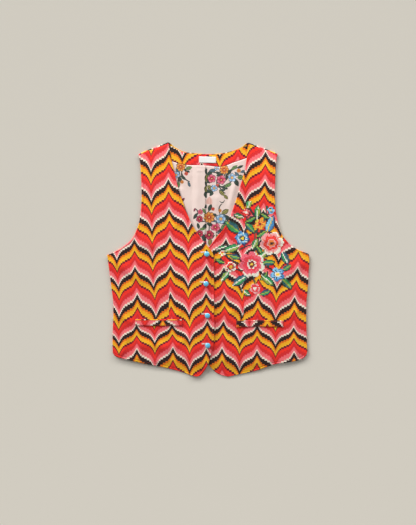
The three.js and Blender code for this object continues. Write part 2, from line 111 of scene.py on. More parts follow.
RIGHT_EDGES: dict[str, Rows] = {
    "shoulder": ((-166.5, 252.6), (-147, 262), (-129, 268.2), (-95.6, 281.5)),
    "armhole": (
        (-163.6, 231.5), (-160.8, 190), (-160, 147), (-161.6, 118), (-165.5, 92), (-171, 73.6),
        (-178.2, 57.2), (-188, 44), (-211.3, 26), (-229.6, 15.7), (-242.5, 11),
    ),
    "side": (
        (-242.5, 11), (-236.5, -35), (-232.7, -65.6), (-228.6, -98), (-227.9, -127), (-229, -165),
        (-229.8, -205), (-228.8, -224.3),
    ),
    "hem": (
        (-228.8, -224.3), (-223.1, -232), (-209.9, -236.8), (-162, -248.3), (-103, -259.8),
        (-76, -266.3), (-57, -272), (-41.6, -277.8), (-28.2, -281.2),
    ),
    "neck": (
        (-88.2, 239), (-82, 213), (-73.6, 176.5), (-64.4, 147.2), (-53.4, 117.7), (-41.4, 88.4),
        (-29.6, 68.3), (-15.2, 46.9), (0, 30.4), (7, 21.5), (12, 11), (13.8, -3),
    ),
    "front": (
        (13.8, -3), (14, -66), (14, -130), (14, -193), (7.5, -224), (0.1, -250), (-9.5, -267),
        (-19, -278), (-28.2, -281.2),
    ),
}
LEFT_EDGES: dict[str, Rows] = {
    "shoulder": ((165.5, 253.5), (151.8, 259.5), (127.8, 268.6), (94.9, 280.4)),
    "armhole": (
        (162.8, 235.3), (160.9, 204), (160, 167.4), (160.9, 121.3), (164.5, 99.5), (170, 77.4),
        (176, 60), (187, 45.5), (201.2, 31.6), (217.8, 22.2), (240.5, 13.5),
    ),
    "side": (
        (240.5, 13.5), (242.5, -1.3), (240.8, -27.5), (238.9, -65.9), (235.6, -100), (235, -140),
        (236, -181), (237, -219),
    ),
    "hem": (
        (237, -219), (235.1, -228.6), (227.4, -237.2), (212, -243), (156.6, -252.4),
        (137.4, -259.1), (114.4, -266.8), (68.5, -276.4), (47.4, -281.2),
    ),
    "neck": (
        (92, 244.4), (88.4, 218.8), (82, 194.8), (74.5, 169.1), (65.4, 139.8), (54.4, 108.6),
        (47.2, 92), (36.1, 73.6), (19.6, 53.4), (3, 31.3), (-9, 18), (-17, 7), (-20.4, -5),
    ),
    "front": (
        (-20.4, -5), (-20.4, -66), (-20.4, -130), (-20.4, -193), (-13.5, -224), (0.1, -249.7),
        (8.8, -262.9), (18.4, -270.8), (30, -276.8), (47.4, -281.2),
    ),
}
BACK_NECK: Rows = (
    (-95.6, 281.5), (-87.2, 274.7), (-77.6, 267.5), (-58.4, 258.4), (-39.2, 255.6), (0, 252.6),
    (37.6, 255.5), (56.8, 260.3), (76, 267.5), (85.6, 273.6), (94.9, 280.4),
)
BACK_HEM: Rows = (
    (-228.8, -224.3), (-218, -229), (-150, -235), (0, -239), (150, -239), (220, -232), (237, -219),
)
FACING_UPPER: Rows = (
    (-98, 272.5), (-87, 270.5), (-77.6, 265), (-58.4, 256.4), (-39.2, 253.8), (0, 251),
    (37.6, 253.8), (56.8, 258.5), (76, 265), (87, 270.5), (98, 272.5),
)
FACING_LOWER: Rows = (
    (-98, 241.5), (-79.3, 233.2), (-54.8, 227.5), (-4.2, 225.5), (29.4, 222.8), (46.2, 226.9),
    (58.4, 232), (75.2, 237.7), (98, 246.5),
)


def smoothstep(value: float, low: float, high: float) -> float:
    """Return the smooth share of the way of a value between two others."""
    share = min(max((value - low) / (high - low), 0.0), 1.0)
    return share * share * (3 - 2 * share)


def lerp(start: float, end: float, share: float) -> float:
    """Return the value at a share of the way between two others."""
    return start + (end - start) * share


def bell(distance: float, width: float) -> float:
    """Return a soft bump, 1 at no distance and fading over a width."""
    return math.exp(-((distance / width) ** 2))


def spread(start: float, end: float, steps: int) -> list[float]:
    """Return evenly spaced values from start to end."""
    return [lerp(start, end, k / steps) for k in range(steps + 1)]


def joined(*stretches: tuple[float, float, int]) -> list[float]:
    """Return the values of stretches that meet, given by the start, end and steps of each.

    Args:
        stretches: The stretches in order.

    Returns:
        The values, with each meeting point once.
    """
    values = [stretches[0][0]]
    for start, end, steps in stretches:
        values += spread(start, end, steps)[1:]
    return values


def shifted(rows: Iterable[tuple[float, float]], dx: float, dy: float) -> list[tuple[float, float]]:
    """Return the rows of a plan table, moved."""
    return [(x + dx, y + dy) for x, y in rows]


class Table:
    """Pairs of values, read between the rows and held past the ends."""

    def __init__(self, rows: Iterable[tuple[float, float]]) -> None:
        """Sort the rows by their first value."""
        self.firsts, self.seconds = zip(*sorted(rows))

    def __call__(self, at: float) -> float:
        """Return the second value where the first one is at.

        Args:
            at: The first value.

        Returns:
            The second value.
        """
        after = bisect.bisect_left(self.firsts, at)
        if after in (0, len(self.firsts)):
            return self.seconds[min(after, len(self.firsts) - 1)]
        low, high = self.firsts[after - 1 : after + 1]
        return lerp(self.seconds[after - 1], self.seconds[after], (at - low) / (high - low))


def srgb(red: int, green: int, blue: int) -> Colour:
    """Return the linear colour of three screen values.

    Args:
        red: The red, from 0 to 255.
        green: The green.
        blue: The blue.

    Returns:
        The colour.
    """
    shares = [value / 255 for value in (red, green, blue)]
    linear = [s / 12.92 if s <= 0.04045 else ((s + 0.055) / 1.055) ** 2.4 for s in shares]
    return (*linear, 1.0)


class SmoothLine:
    """A smooth line through the rows of a plan table, read by its share of the length."""

    STEPS = 20

    def __init__(self, rows: Sequence[tuple[float, float]]) -> None:
        """Sample the line through the rows.

        Args:
            rows: The points that it runs through.
        """
        knots = [Vector(row) for row in rows]
        ends = [2 * knots[0] - knots[1], *knots, 2 * knots[-1] - knots[-2]]
        self.points = [knots[0].copy()]
        shares = spread(0, 1, self.STEPS)[1:]
        for k in range(len(knots) - 1):
            self.points += [self.between(ends[k : k + 4], share) for share in shares]
        self.lengths = [0.0]
        for before, after in zip(self.points, self.points[1:]):
            self.lengths.append(self.lengths[-1] + (after - before).length)

    @staticmethod
    def between(knots: Sequence[Vector], share: float) -> Vector:
        """Return the centripetal curve's point between the second and third of four knots.

        Args:
            knots: The four knots.
            share: The share of the way between the middle two.

        Returns:
            The point.
        """
        first, start, end, last = knots
        before, middle, after = (max((b - a).length ** 0.5, 1e-4) for a, b in zip(knots, knots[1:]))
        leave = (start - first) / before - (end - first) / (before + middle) + (end - start) / middle
        arrive = (end - start) / middle - (last - start) / (middle + after) + (last - end) / after
        square, cube = share**2, share**3
        blend = start * (1 - 3 * square + 2 * cube) + end * (3 * square - 2 * cube)
        return blend + (leave * (share - 2 * square + cube) + arrive * (cube - square)) * middle

    @property
    def length(self) -> float:
        """Return the line's whole length."""
        return self.lengths[-1]

    def __call__(self, share: float) -> Vector:
        """Return the point at a share of the length.

        Args:
            share: The share, held between 0 and 1.

        Returns:
            The point.
        """
        wanted = min(max(share, 0.0), 1.0) * self.length
        after = min(max(bisect.bisect_left(self.lengths, wanted), 1), len(self.lengths) - 1)
        stretch = self.lengths[after] - self.lengths[after - 1]
        return self.points[after - 1].lerp(self.points[after], (wanted - self.lengths[after - 1]) / stretch)


def chain(lines: Sequence[Line], ends: Sequence[float]) -> Line:
    """Lay lines end to end.

    Args:
        lines: The lines in order.
        ends: The share of the way at which each one stops.

    Returns:
        One line over the whole way.
    """

    def point(share: float) -> Vector:
        """Return the chain's point at a share of the way.

        Args:
            share: The share.

        Returns:
            The point.
        """
        k = min(bisect.bisect_left(ends, share - 1e-9), len(ends) - 1)
        start = ends[k - 1] if k else 0.0
        return lines[k]((share - start) / (ends[k] - start))

    return point


def side_edge(upper: Sequence[tuple[float, float]], lower: Sequence[tuple[float, float]]) -> Line:
    """Return an edge of two stretches that meet in the underarm's row."""
    return chain([SmoothLine(upper), SmoothLine(lower)], [UNDERARM, 1])


class Panel:
    """The plan of a four-sided panel: u runs from left to right, v from top to bottom."""

    def __init__(self, left: Line, right: Line, top: Line, bottom: Line) -> None:
        """Keep the four edges and their corners."""
        self.left, self.right, self.top, self.bottom = left, right, top, bottom
        self.corners = (top(0), top(1), bottom(0), bottom(1))

    def at(self, u: float, v: float) -> Vector:
        """Return the plan point at u and v.

        Args:
            u: The share from left to right.
            v: The share from top to bottom.

        Returns:
            The point.
        """
        top_left, top_right, bottom_left, bottom_right = self.corners
        point = self.left(v) * (1 - u) + self.right(v) * u + self.top(u) * (1 - v) + self.bottom(u) * v
        point -= top_left * ((1 - u) * (1 - v)) + top_right * (u * (1 - v))
        return point - bottom_left * ((1 - u) * v) - bottom_right * (u * v)

    def column(self, v: float, x: float) -> float:
        """Return the u at which row v crosses x.

        Args:
            v: The row.
            x: The plan's x.

        Returns:
            The share from left to right.
        """
        low, high = 0.0, 1.0
        for _ in range(26):
            middle = (low + high) / 2
            low, high = (middle, high) if self.at(middle, v).x < x else (low, middle)
        return (low + high) / 2


@dataclass(frozen=True)
class Crease:
    """A soft ridge of the cloth, or a trough where its rise is negative."""

    x0: float
    y0: float
    x1: float
    y1: float
    rise: float
    width: float

    def height(self, x: float, y: float) -> float:
        """Return the crease's height over a point.

        Args:
            x: The point's x.
            y: Its y.

        Returns:
            The height, in millimetres.
        """
        dx, dy = self.x1 - self.x0, self.y1 - self.y0
        length = math.hypot(dx, dy)
        along = ((x - self.x0) * dx + (y - self.y0) * dy) / length
        aside = ((x - self.x0) * dy - (y - self.y0) * dx) / length
        fade = smoothstep(along, -self.width, self.width)
        fade *= 1 - smoothstep(along, length * 0.55, length + self.width)
        return self.rise * fade * bell(aside, self.width)


@dataclass(frozen=True)
class Dart:
    """A dart stitched upright into a front, and the width of cloth that it takes up."""

    x: float
    top: float
    bottom: float
    intake: float
    rise: float = 0.7
    width: float = 2.5

    def height(self, x: float, y: float) -> float:
        """Return the pressed tuck's height, with the stitched line sunk in it."""
        ends = smoothstep(self.top - y, 0, 30) * (1 - smoothstep(self.bottom - y, -4, 4))
        return ends * (self.rise * bell(x - self.x, self.width) - 1.1 * bell(x - self.x, 0.8))

    def taken(self, x: float, y: float) -> float:
        """Return how far the print beside the dart is drawn towards it."""
        depth = smoothstep(self.top - y, 0, self.top - self.bottom) * (1 - smoothstep(self.bottom - y, 0, 26))
        return self.intake * depth * math.exp(-abs(x - self.x) / 55)


def pleat_lift(x: float) -> float:
    """Return how far the folded pleat below lifts what lies on it.

    Args:
        x: The plan's x.

    Returns:
        The lift.
    """
    back = PLEAT_EDGE_HEM - PLEAT_DEPTH
    fallen = smoothstep(x, PLEAT_EDGE_HEM + 8, PLEAT_EDGE_HEM + 28)
    return PLEAT_RISE * (smoothstep(x, back - 22, back - 4) - fallen)


BACK_HEM_HEIGHT = Table(BACK_HEM)
LAP_EDGE = Table((y, x) for x, y in (*LEFT_EDGES["neck"], *LEFT_EDGES["front"][1:]))


def hem_drop(x: float, y: float) -> float:
    """Return how far a front sinks towards the floor past the hem of the back."""
    return (FRONT_FLOOR - GAP) * smoothstep(BACK_HEM_HEIGHT(x) - y, 5, 34)


def lap_lift(x: float, y: float) -> float:
    """Return how far the right front rises to lie on the left one."""
    return LAP_RISE * smoothstep(x - LAP_EDGE(y), -36, -14)


def neck_lift(edge: float, x: float, y: float) -> float:
    """Return how far a front's neck edge stands off the lining, for the edge's x in a row."""
    stretch = smoothstep(y, 30, 84) * (1 - smoothstep(y, 185, 235))
    return 2.6 * stretch * (1 - smoothstep(abs(x - edge), 0, 28))


def round_over(distance: float, reach: float) -> float:
    """Return the height share of a quarter round at a distance from its edge."""
    return math.sqrt(max(0.0, 1 - (1 - min(distance, reach) / reach) ** 2))


def uneven(x: float, y: float, size: float, seed: float) -> float:
    """Return a seeded soft unevenness from -1 to 1 at a point, for lumps of about a size."""
    return noise.noise(Vector((x / size, y / size, seed)))


REPEAT_ACROSS = 86.0
REPEAT_DOWN = 68.7


class PrintLayout:
    """Where the flame print lies on a piece.

    Each column holds the peaks of the black band one below the other, from the same row in all.
    """

    def __init__(self, *columns: Rows) -> None:
        """Read the columns of peaks, and carry the print on past them.

        Args:
            columns: The columns, from left to right.
        """
        first, last = shifted(columns[0], -REPEAT_ACROSS, 0), shifted(columns[-1], REPEAT_ACROSS, 0)
        before, after = shifted(first, -REPEAT_ACROSS, 0), shifted(last, REPEAT_ACROSS, 0)
        self.sides, self.counts = [], []
        for column in (before, first, *columns, last, after):
            (top_x, top_y), (foot_x, foot_y) = column[0], column[-1]
            rows = [(top_x, top_y + REPEAT_DOWN), *column, (foot_x, foot_y - REPEAT_DOWN)]
            self.sides.append(Table((y, x) for x, y in rows))
            self.counts.append(Table((y, count) for count, (_, y) in enumerate(rows)))

    def at(self, x: float, y: float) -> tuple[float, float]:
        """Return the counts of repeats across and down, whole numbers at the peaks.

        Args:
            x: The point's x.
            y: Its y.

        Returns:
            The two counts.
        """
        places = [side(y) for side in self.sides]
        k = min(max(bisect.bisect_left(places, x), 1), len(places) - 1)
        share = (x - places[k - 1]) / (places[k] - places[k - 1])
        down = lerp(self.counts[k - 1](y), self.counts[k](y), smoothstep(share, 0, 1))
        return k - 1 + share, down


def regular(top: float, foot: float, *places: float) -> PrintLayout:
    """Return a layout of even rows of peaks from a top to a foot, in columns at some places."""
    rows = [top - REPEAT_DOWN * k for k in range(2 + int((top - foot) / REPEAT_DOWN))]
    return PrintLayout(*[tuple((x, y) for y in rows) for x in places])


LAYOUTS = {
    "right": PrintLayout(
        (
            (-180, 262), (-179, 191), (-178, 119.5), (-177.2, 47.9), (-176, -18.6), (-171.2, -84.1),
            (-172, -158), (-171.2, -216.1),
        ),
        (
            (-94, 262.2), (-96, 191.5), (-94.4, 120.2), (-92, 52.7), (-90.8, -14.5), (-91, -81.7),
            (-87, -156.5), (-84.8, -212.5),
        ),
        ((-10, 262), (-8, 191), (-5, 120), (-4, 51), (-4.4, -14.5), (-5.6, -81.4), (-2, -148), (-5, -214.5)),
    ),
    "left": PrintLayout(
        (
            (44, 256), (43, 187), (42.5, 117), (42.4, 47.9), (37.4, -20.5), (37.6, -86.5),
            (36.4, -148.9), (32.8, -213.7),
        ),
        (
            (137.2, 256.8), (136, 187.1), (132, 118), (126, 48), (120.5, -18), (119.2, -87),
            (117, -158.5), (116.5, -219.5),
        ),
        (
            (222, 257), (221, 187), (220, 117), (217, 46), (214, -21.7), (206.8, -90.9),
            (204.5, -164), (205.4, -223.8),
        ),
    ),
    "back": regular(300, -240, -172, -86, 0, 86, 172),
    "facing": PrintLayout(((-109, 290), (-109, 221)), ((-16, 298.5), (-16, 230)), ((71, 298.5), (71, 230))),
    "welt_right": regular(-64, -200, -109),
    "welt_left": regular(-57, -200, 141.2),
}


class Graph:
    """Adds and links the nodes of one shader tree."""

    def __init__(self, tree: Tree) -> None:
        """Keep the tree."""
        self.tree = tree

    def add(self, kind: str, **settings: object) -> bpy.types.Node:
        """Add a node of a kind with its settings.

        Args:
            kind: The node's type.
            settings: Its settings.

        Returns:
            The node.
        """
        node = self.tree.nodes.new(kind)
        for name, value in settings.items():
            setattr(node, name, value)
        return node

    def feed(self, socket: Socket, value: object) -> None:
        """Link a socket, or set its own value.

        Args:
            socket: The socket.
            value: A value or another socket.
        """
        if isinstance(value, Socket):
            self.tree.links.new(value, socket)
        else:
            socket.default_value = value

    def feed_all(self, node: bpy.types.Node, values: dict[int | str, object]) -> None:
        """Link or set inputs of a node by their names or numbers."""
        for name, value in values.items():
            self.feed(node.inputs[name], value)

    def fed(self, kind: str, inputs: dict[int | str, object], **settings: object) -> Outputs:
        """Add a node with its inputs.

        Args:
            kind: The node's type.
            inputs: A value or a socket for each input's name or number.
            settings: The node's own settings.

        Returns:
            The node's outputs.
        """
        node = self.add(kind, **settings)
        self.feed_all(node, inputs)
        return node.outputs

    def math(self, operation: str, *values: object) -> Socket:
        """Return the result of a Math node."""
        return self.fed("ShaderNodeMath", dict(enumerate(values)), operation=operation)[0]

    def clamp(self, value: object, low: float, high: float) -> Socket:
        """Return the smooth share of the way of a value between two others."""
        ends = {"Value": value, "From Min": low, "From Max": high}
        return self.fed("ShaderNodeMapRange", ends, interpolation_type="SMOOTHSTEP")[0]

    def mix(self, share: object, first: object, second: object, blend: str = "MIX") -> Socket:
        """Return a mix of two colours."""
        inputs = {0: share, 6: first, 7: second}
        return self.fed("ShaderNodeMix", inputs, data_type="RGBA", blend_type=blend)[2]

    def vector(self, x: object, y: object, z: object = 0.0) -> Socket:
        """Return a vector of three values."""
        return self.fed("ShaderNodeCombineXYZ", {0: x, 1: y, 2: z})[0]

    def split(self, vector: object) -> Outputs:
        """Return the three values of a vector."""
        return self.fed("ShaderNodeSeparateXYZ", {0: vector})

    def noise(self, place: object, scale: float, detail: float = 2.0) -> Socket:
        """Return soft noise from 0 to 1."""
        return self.fed("ShaderNodeTexNoise", {"Vector": place, "Scale": scale, "Detail": detail})[0]

    def ramp(self, share: object, stops: Sequence[tuple[float, Colour]], steps: bool) -> Socket:
        """Return the colour of a ramp.

        Args:
            share: The place on the ramp.
            stops: Each stop's place and colour.
            steps: True for plain steps, False for a blend.

        Returns:
            The colour socket.
        """
        node = self.add("ShaderNodeValToRGB")
        node.color_ramp.interpolation = "CONSTANT" if steps else "LINEAR"
        elements = node.color_ramp.elements
        elements.remove(elements[1])
        elements[0].position, elements[0].color = stops[0]
        for place, colour in stops[1:]:
            elements.new(place).color = colour
        self.feed(node.inputs[0], share)
        return node.outputs[0]

    def place(self) -> Socket:
        """Return the point in Object coordinates."""
        return self.add("ShaderNodeTexCoord").outputs["Object"]

    def stored(self, layer: str) -> Outputs:
        """Return the three values of a layer that the piece carries."""
        return self.split(self.add("ShaderNodeAttribute", attribute_name=layer).outputs["Vector"])

    def toned(self, colour: object, tone: object) -> Socket:
        """Return a colour multiplied by a tone."""
        return self.mix(1.0, colour, self.vector(tone, tone, tone), "MULTIPLY")

    def group(self, tree: Tree, **inputs: object) -> Outputs:
        """Place a node group with its inputs and return its outputs."""
        return self.fed("ShaderNodeGroup", inputs, node_tree=tree)


def shared_group(
    name: str, inputs: dict[str, str], outputs: dict[str, str]
) -> tuple[Tree, Graph, Outputs, bpy.types.NodeInputs]:
    """Start a node group with named sockets.

    Args:
        name: The group's name.
        inputs: Each input's name and kind, Float, Color or Vector.
        outputs: Each output's name and kind.

    Returns:
        The tree, its graph, the inner ends of its inputs, and those of its outputs.
    """
    tree = bpy.data.node_groups.new(name, "ShaderNodeTree")
    for sockets, way in ((inputs, "INPUT"), (outputs, "OUTPUT")):
        for label, kind in sockets.items():
            tree.interface.new_socket(name=label, in_out=way, socket_type=f"NodeSocket{kind}")
    graph = Graph(tree)
    return tree, graph, graph.add("NodeGroupInput").outputs, graph.add("NodeGroupOutput").inputs


@dataclass(frozen=True)
class Band:
    """A band of the flame print: its height on the cloth and the two colours of its cells."""

    height: float
    main: Colour
    second: Colour


@dataclass(frozen=True)
class FlamePrint:
    """The flame stitch print: stair-stepped bands that rise to a peak and fall to a valley."""

    cell: float = 2.35
    fall: float = 51.0
    bands: tuple[Band, ...] = (
        Band(12.2, srgb(58, 35, 32), srgb(22, 14, 18)),
        Band(5.2, srgb(240, 110, 16), srgb(245, 127, 20)),
        Band(7.6, srgb(246, 171, 26), srgb(255, 185, 34)),
        Band(3.4, srgb(255, 202, 44), srgb(250, 183, 36)),
        Band(5.4, srgb(92, 14, 42), srgb(128, 18, 42)),
        Band(9.2, srgb(255, 54, 36), srgb(248, 48, 36)),
        Band(9.0, srgb(210, 37, 41), srgb(234, 50, 46)),
        Band(1.6, srgb(232, 72, 86), srgb(222, 60, 74)),
        Band(8.6, srgb(254, 122, 125), srgb(246, 104, 112)),
        Band(2.4, srgb(255, 150, 147), srgb(252, 129, 131)),
        Band(4.4, srgb(255, 246, 228), srgb(246, 222, 200)),
    )
    # Distance from the peak, and how far the bands have fallen there
    stairs: Rows = (
        (0, 0), (1.6, 3.4), (3.4, 7.0), (5.4, 10.8), (7.8, 14.8), (11.4, 18.6), (17.6, 22.2), (23.8, 26.0),
        (29.8, 29.8), (33.6, 34.0), (36.4, 38.2), (38.8, 42.6), (40.8, 47.0), (42.4, 50.8),
    )

    def group(self) -> Tree:
        """Return the node group, which turns counts of repeats into the print's colour.

        Returns:
            The group's tree.
        """
        tree, graph, given, result = shared_group(
            "flame_print", {"Across": "Float", "Down": "Float"}, {"Colour": "Color"}
        )
        share = graph.math("MULTIPLY", graph.math("PINGPONG", given["Across"], 0.5), 2.0)
        half = REPEAT_ACROSS / 2
        stops = [(x / half, (drop / self.fall,) * 3 + (1.0,)) for x, drop in self.stairs]
        drop = graph.math("MULTIPLY", graph.ramp(share, stops, True), self.fall / REPEAT_DOWN)
        total = sum(band.height for band in self.bands)
        fallen = graph.math("SUBTRACT", given["Down"], drop)
        phase = graph.math("FRACT", fallen)
        starts = [sum(band.height for band in self.bands[:k]) / total for k in range(len(self.bands))]
        main = graph.ramp(phase, [(s, band.main) for s, band in zip(starts, self.bands)], True)
        second = graph.ramp(phase, [(s, band.second) for s, band in zip(starts, self.bands)], True)
        column = graph.math("FLOOR", graph.math("MULTIPLY", given["Across"], REPEAT_ACROSS / self.cell))
        row = graph.math("FLOOR", graph.math("MULTIPLY", fallen, REPEAT_DOWN / self.cell))
        cells = {"Vector": graph.vector(column, row)}
        grain = graph.fed("ShaderNodeTexWhiteNoise", cells, noise_dimensions="2D")[0]
        turn = graph.math("PINGPONG", graph.math("ADD", column, row), 1.0)
        amount = graph.math("MULTIPLY_ADD", turn, 0.65, graph.math("MULTIPLY", grain, 0.35))
        graph.feed(result["Colour"], graph.mix(amount, main, second))
        return tree


def weave_group() -> Tree:
    """Return the node group of a woven surface.

    Pitch is the threads' spacing in metres, and Slant is 0 for a plain weave and 1 for a twill. Height
    and Shade run from 0 to 1.

    Returns:
        The group's tree.
    """
    tree, graph, given, result = shared_group(
        "woven_cloth",
        {"Place": "Vector", "Pitch": "Float", "Slant": "Float"},
        {"Height": "Float", "Shade": "Float"},
    )
    x, y, _ = graph.split(given["Place"])
    turns = graph.math("DIVIDE", 2 * math.pi, given["Pitch"])
    along = graph.math("MULTIPLY", graph.math("ADD", x, graph.math("MULTIPLY", y, given["Slant"])), turns)
    warp = graph.math("MULTIPLY_ADD", graph.math("SINE", along), 0.5, 0.5)
    weft = graph.math("MULTIPLY_ADD", graph.math("SINE", graph.math("MULTIPLY", y, turns)), 0.5, 0.5)
    height = graph.math("MULTIPLY_ADD", warp, 0.62, graph.math("MULTIPLY", weft, 0.38))
    graph.feed(result["Height"], height)
    slub = graph.noise(graph.vector(graph.math("MULTIPLY", x, 0.2), y), 900.0)
    graph.feed(result["Shade"], graph.math("MULTIPLY_ADD", height, 0.5, graph.math("MULTIPLY", slub, 0.5)))
    return tree


def new_material(name: str) -> tuple[Material, Graph, bpy.types.Node]:
    """Return a new material, its graph and its Principled shader.

    Args:
        name: The material's name.

    Returns:
        The material, the graph and the shader.
    """
    material = bpy.data.materials.new(name)
    material.use_nodes = True
    graph = Graph(material.node_tree)
    return material, graph, material.node_tree.nodes["Principled BSDF"]


def bump(graph: Graph, height: object, distance: float, strength: float, under: object = None) -> Socket:
    """Return the normal of a Bump node, laid over another one where under is given.

    Args:
        graph: The material's graph.
        height: The height, from 0 to 1.
        distance: What a height of 1 stands for, in metres.
        strength: The node's strength.
        under: The normal below.

    Returns:
        The normal.
    """
    inputs = {"Strength": strength, "Distance": distance, "Height": height}
    if under is not None:
        inputs["Normal"] = under
    return graph.fed("ShaderNodeBump", inputs)[0]


@dataclass(frozen=True)
class Twill:
    """The printed cotton twill of the fronts, back, facing and welts."""

    name: str = "flame_twill"
    pitch: float = 0.0009
    roughness: float = 0.86
    sheen: float = 0.12

    def material(self, print_tree: Tree, weave: Tree) -> Material:
        """Return the material, which reads the piece's own print map.

        Args:
            print_tree: The node group of the print.
            weave: The node group of the weave.

        Returns:
            The finished material.
        """
        material, graph, shader = new_material(self.name)
        place = graph.place()
        across, down, _ = graph.split(graph.add("ShaderNodeUVMap", uv_map="print").outputs[0])
        colour = graph.group(print_tree, Across=across, Down=down)["Colour"]
        cloth = graph.group(weave, Place=place, Pitch=self.pitch, Slant=1.0)
        shade = graph.math("MULTIPLY_ADD", cloth["Shade"], 0.16, 0.87)
        wear = graph.math("MULTIPLY_ADD", graph.noise(place, 22.0, 4.0), 0.1, 0.95)
        puckers = bump(graph, graph.noise(place, 70.0, 2.0), 0.0012, 0.28)
        graph.feed_all(shader, {
            "Base Color": graph.toned(colour, graph.math("MULTIPLY", shade, wear)),
            "Normal": bump(graph, cloth["Height"], 0.00012, 0.45, puckers),
            "Roughness": self.roughness, "Specular IOR Level": 0.25,
            "Sheen Weight": self.sheen, "Sheen Roughness": 0.5,
        })
        return material


@dataclass(frozen=True)
class BloomInk:
    """The inks of one kind of printed blossom and its count of petals."""

    petal: Colour
    rim: Colour
    heart: Colour
    outline: Colour
    petals: int

    @property
    def count(self) -> Colour:
        """Return the count of petals as a grey, in shares of 16."""
        return (self.petals / 16,) * 3 + (1.0,)


@dataclass(frozen=True)
class LeafInk:
    """The inks of one kind of printed leaf."""

    blade: Colour
    rim: Colour


class Bloom(Enum):
    """The lining's blossoms."""

    ROSE = BloomInk(srgb(214, 62, 94), srgb(238, 134, 154), srgb(150, 26, 50), srgb(96, 22, 46), 5)
    CRIMSON = BloomInk(srgb(176, 30, 60), srgb(214, 78, 100), srgb(92, 14, 32), srgb(56, 14, 30), 6)
    ORANGE = BloomInk(srgb(216, 112, 36), srgb(240, 172, 76), srgb(170, 34, 26), srgb(84, 46, 26), 8)
    BLUE = BloomInk(srgb(128, 174, 212), srgb(198, 220, 238), srgb(214, 146, 60), srgb(34, 52, 78), 5)
    SCARLET = BloomInk(srgb(214, 40, 36), srgb(240, 110, 84), srgb(110, 20, 24), srgb(90, 20, 22), 4)


class Leaf(Enum):
    """The lining's leaves."""

    GREEN = LeafInk(srgb(122, 158, 90), srgb(32, 54, 42))
    DARK = LeafInk(srgb(54, 78, 62), srgb(20, 28, 32))
    OLIVE = LeafInk(srgb(156, 150, 76), srgb(44, 42, 34))
    SLATE = LeafInk(srgb(96, 126, 138), srgb(26, 36, 50))
    CRIMSON = LeafInk(srgb(150, 40, 66), srgb(58, 22, 34))
    BLUSH = LeafInk(srgb(226, 172, 158), srgb(236, 192, 178))


# Blossoms of the lining's sprays by kind: x, y, radius, turn
BLOOMS = {
    Bloom.ORANGE: (
        (-66, 222, 12, 0.3), (-63, 186, 4.6, 0.4), (38, 215, 12, 0.1), (73, 213, 5.4, 0.2),
        (2, 101, 14.5, 0.2), (28, 117, 4.4, 0.0), (122, 92, 12, 0.6), (-58, -84, 10, 0.4),
    ),
    Bloom.BLUE: (
        (-77, 203, 9, 0.9), (57, 196, 11, 0.3), (14, 171, 9, 0.7), (20, 219, 6, 0.4), (30, 97, 13, 0.1),
        (-112, 104, 9, 0.2), (84, -60, 11, 0.5),
    ),
    Bloom.SCARLET: (
        (-53, 206, 5, 0.2), (22, 178, 4, 0.5), (11, 121, 4.6, 0.6),
    ),
    Bloom.ROSE: (
        (8, 194, 11, 0.5), (31, 191, 12, 0.0), (-19, 114, 7, 0.2), (17, 77, 12, 0.8), (-132, 120, 12, 0.4),
        (142, 76, 10, 0.3), (-80, -70, 12, 0.1), (104, -78, 10, 0.2),
    ),
    Bloom.CRIMSON: (
        (-21, 97, 9, 0.4), (2, 59, 12.5, 0.3), (-21, 62, 9.5, 0.6), (-8, 38, 7, 0.1),
    ),
}
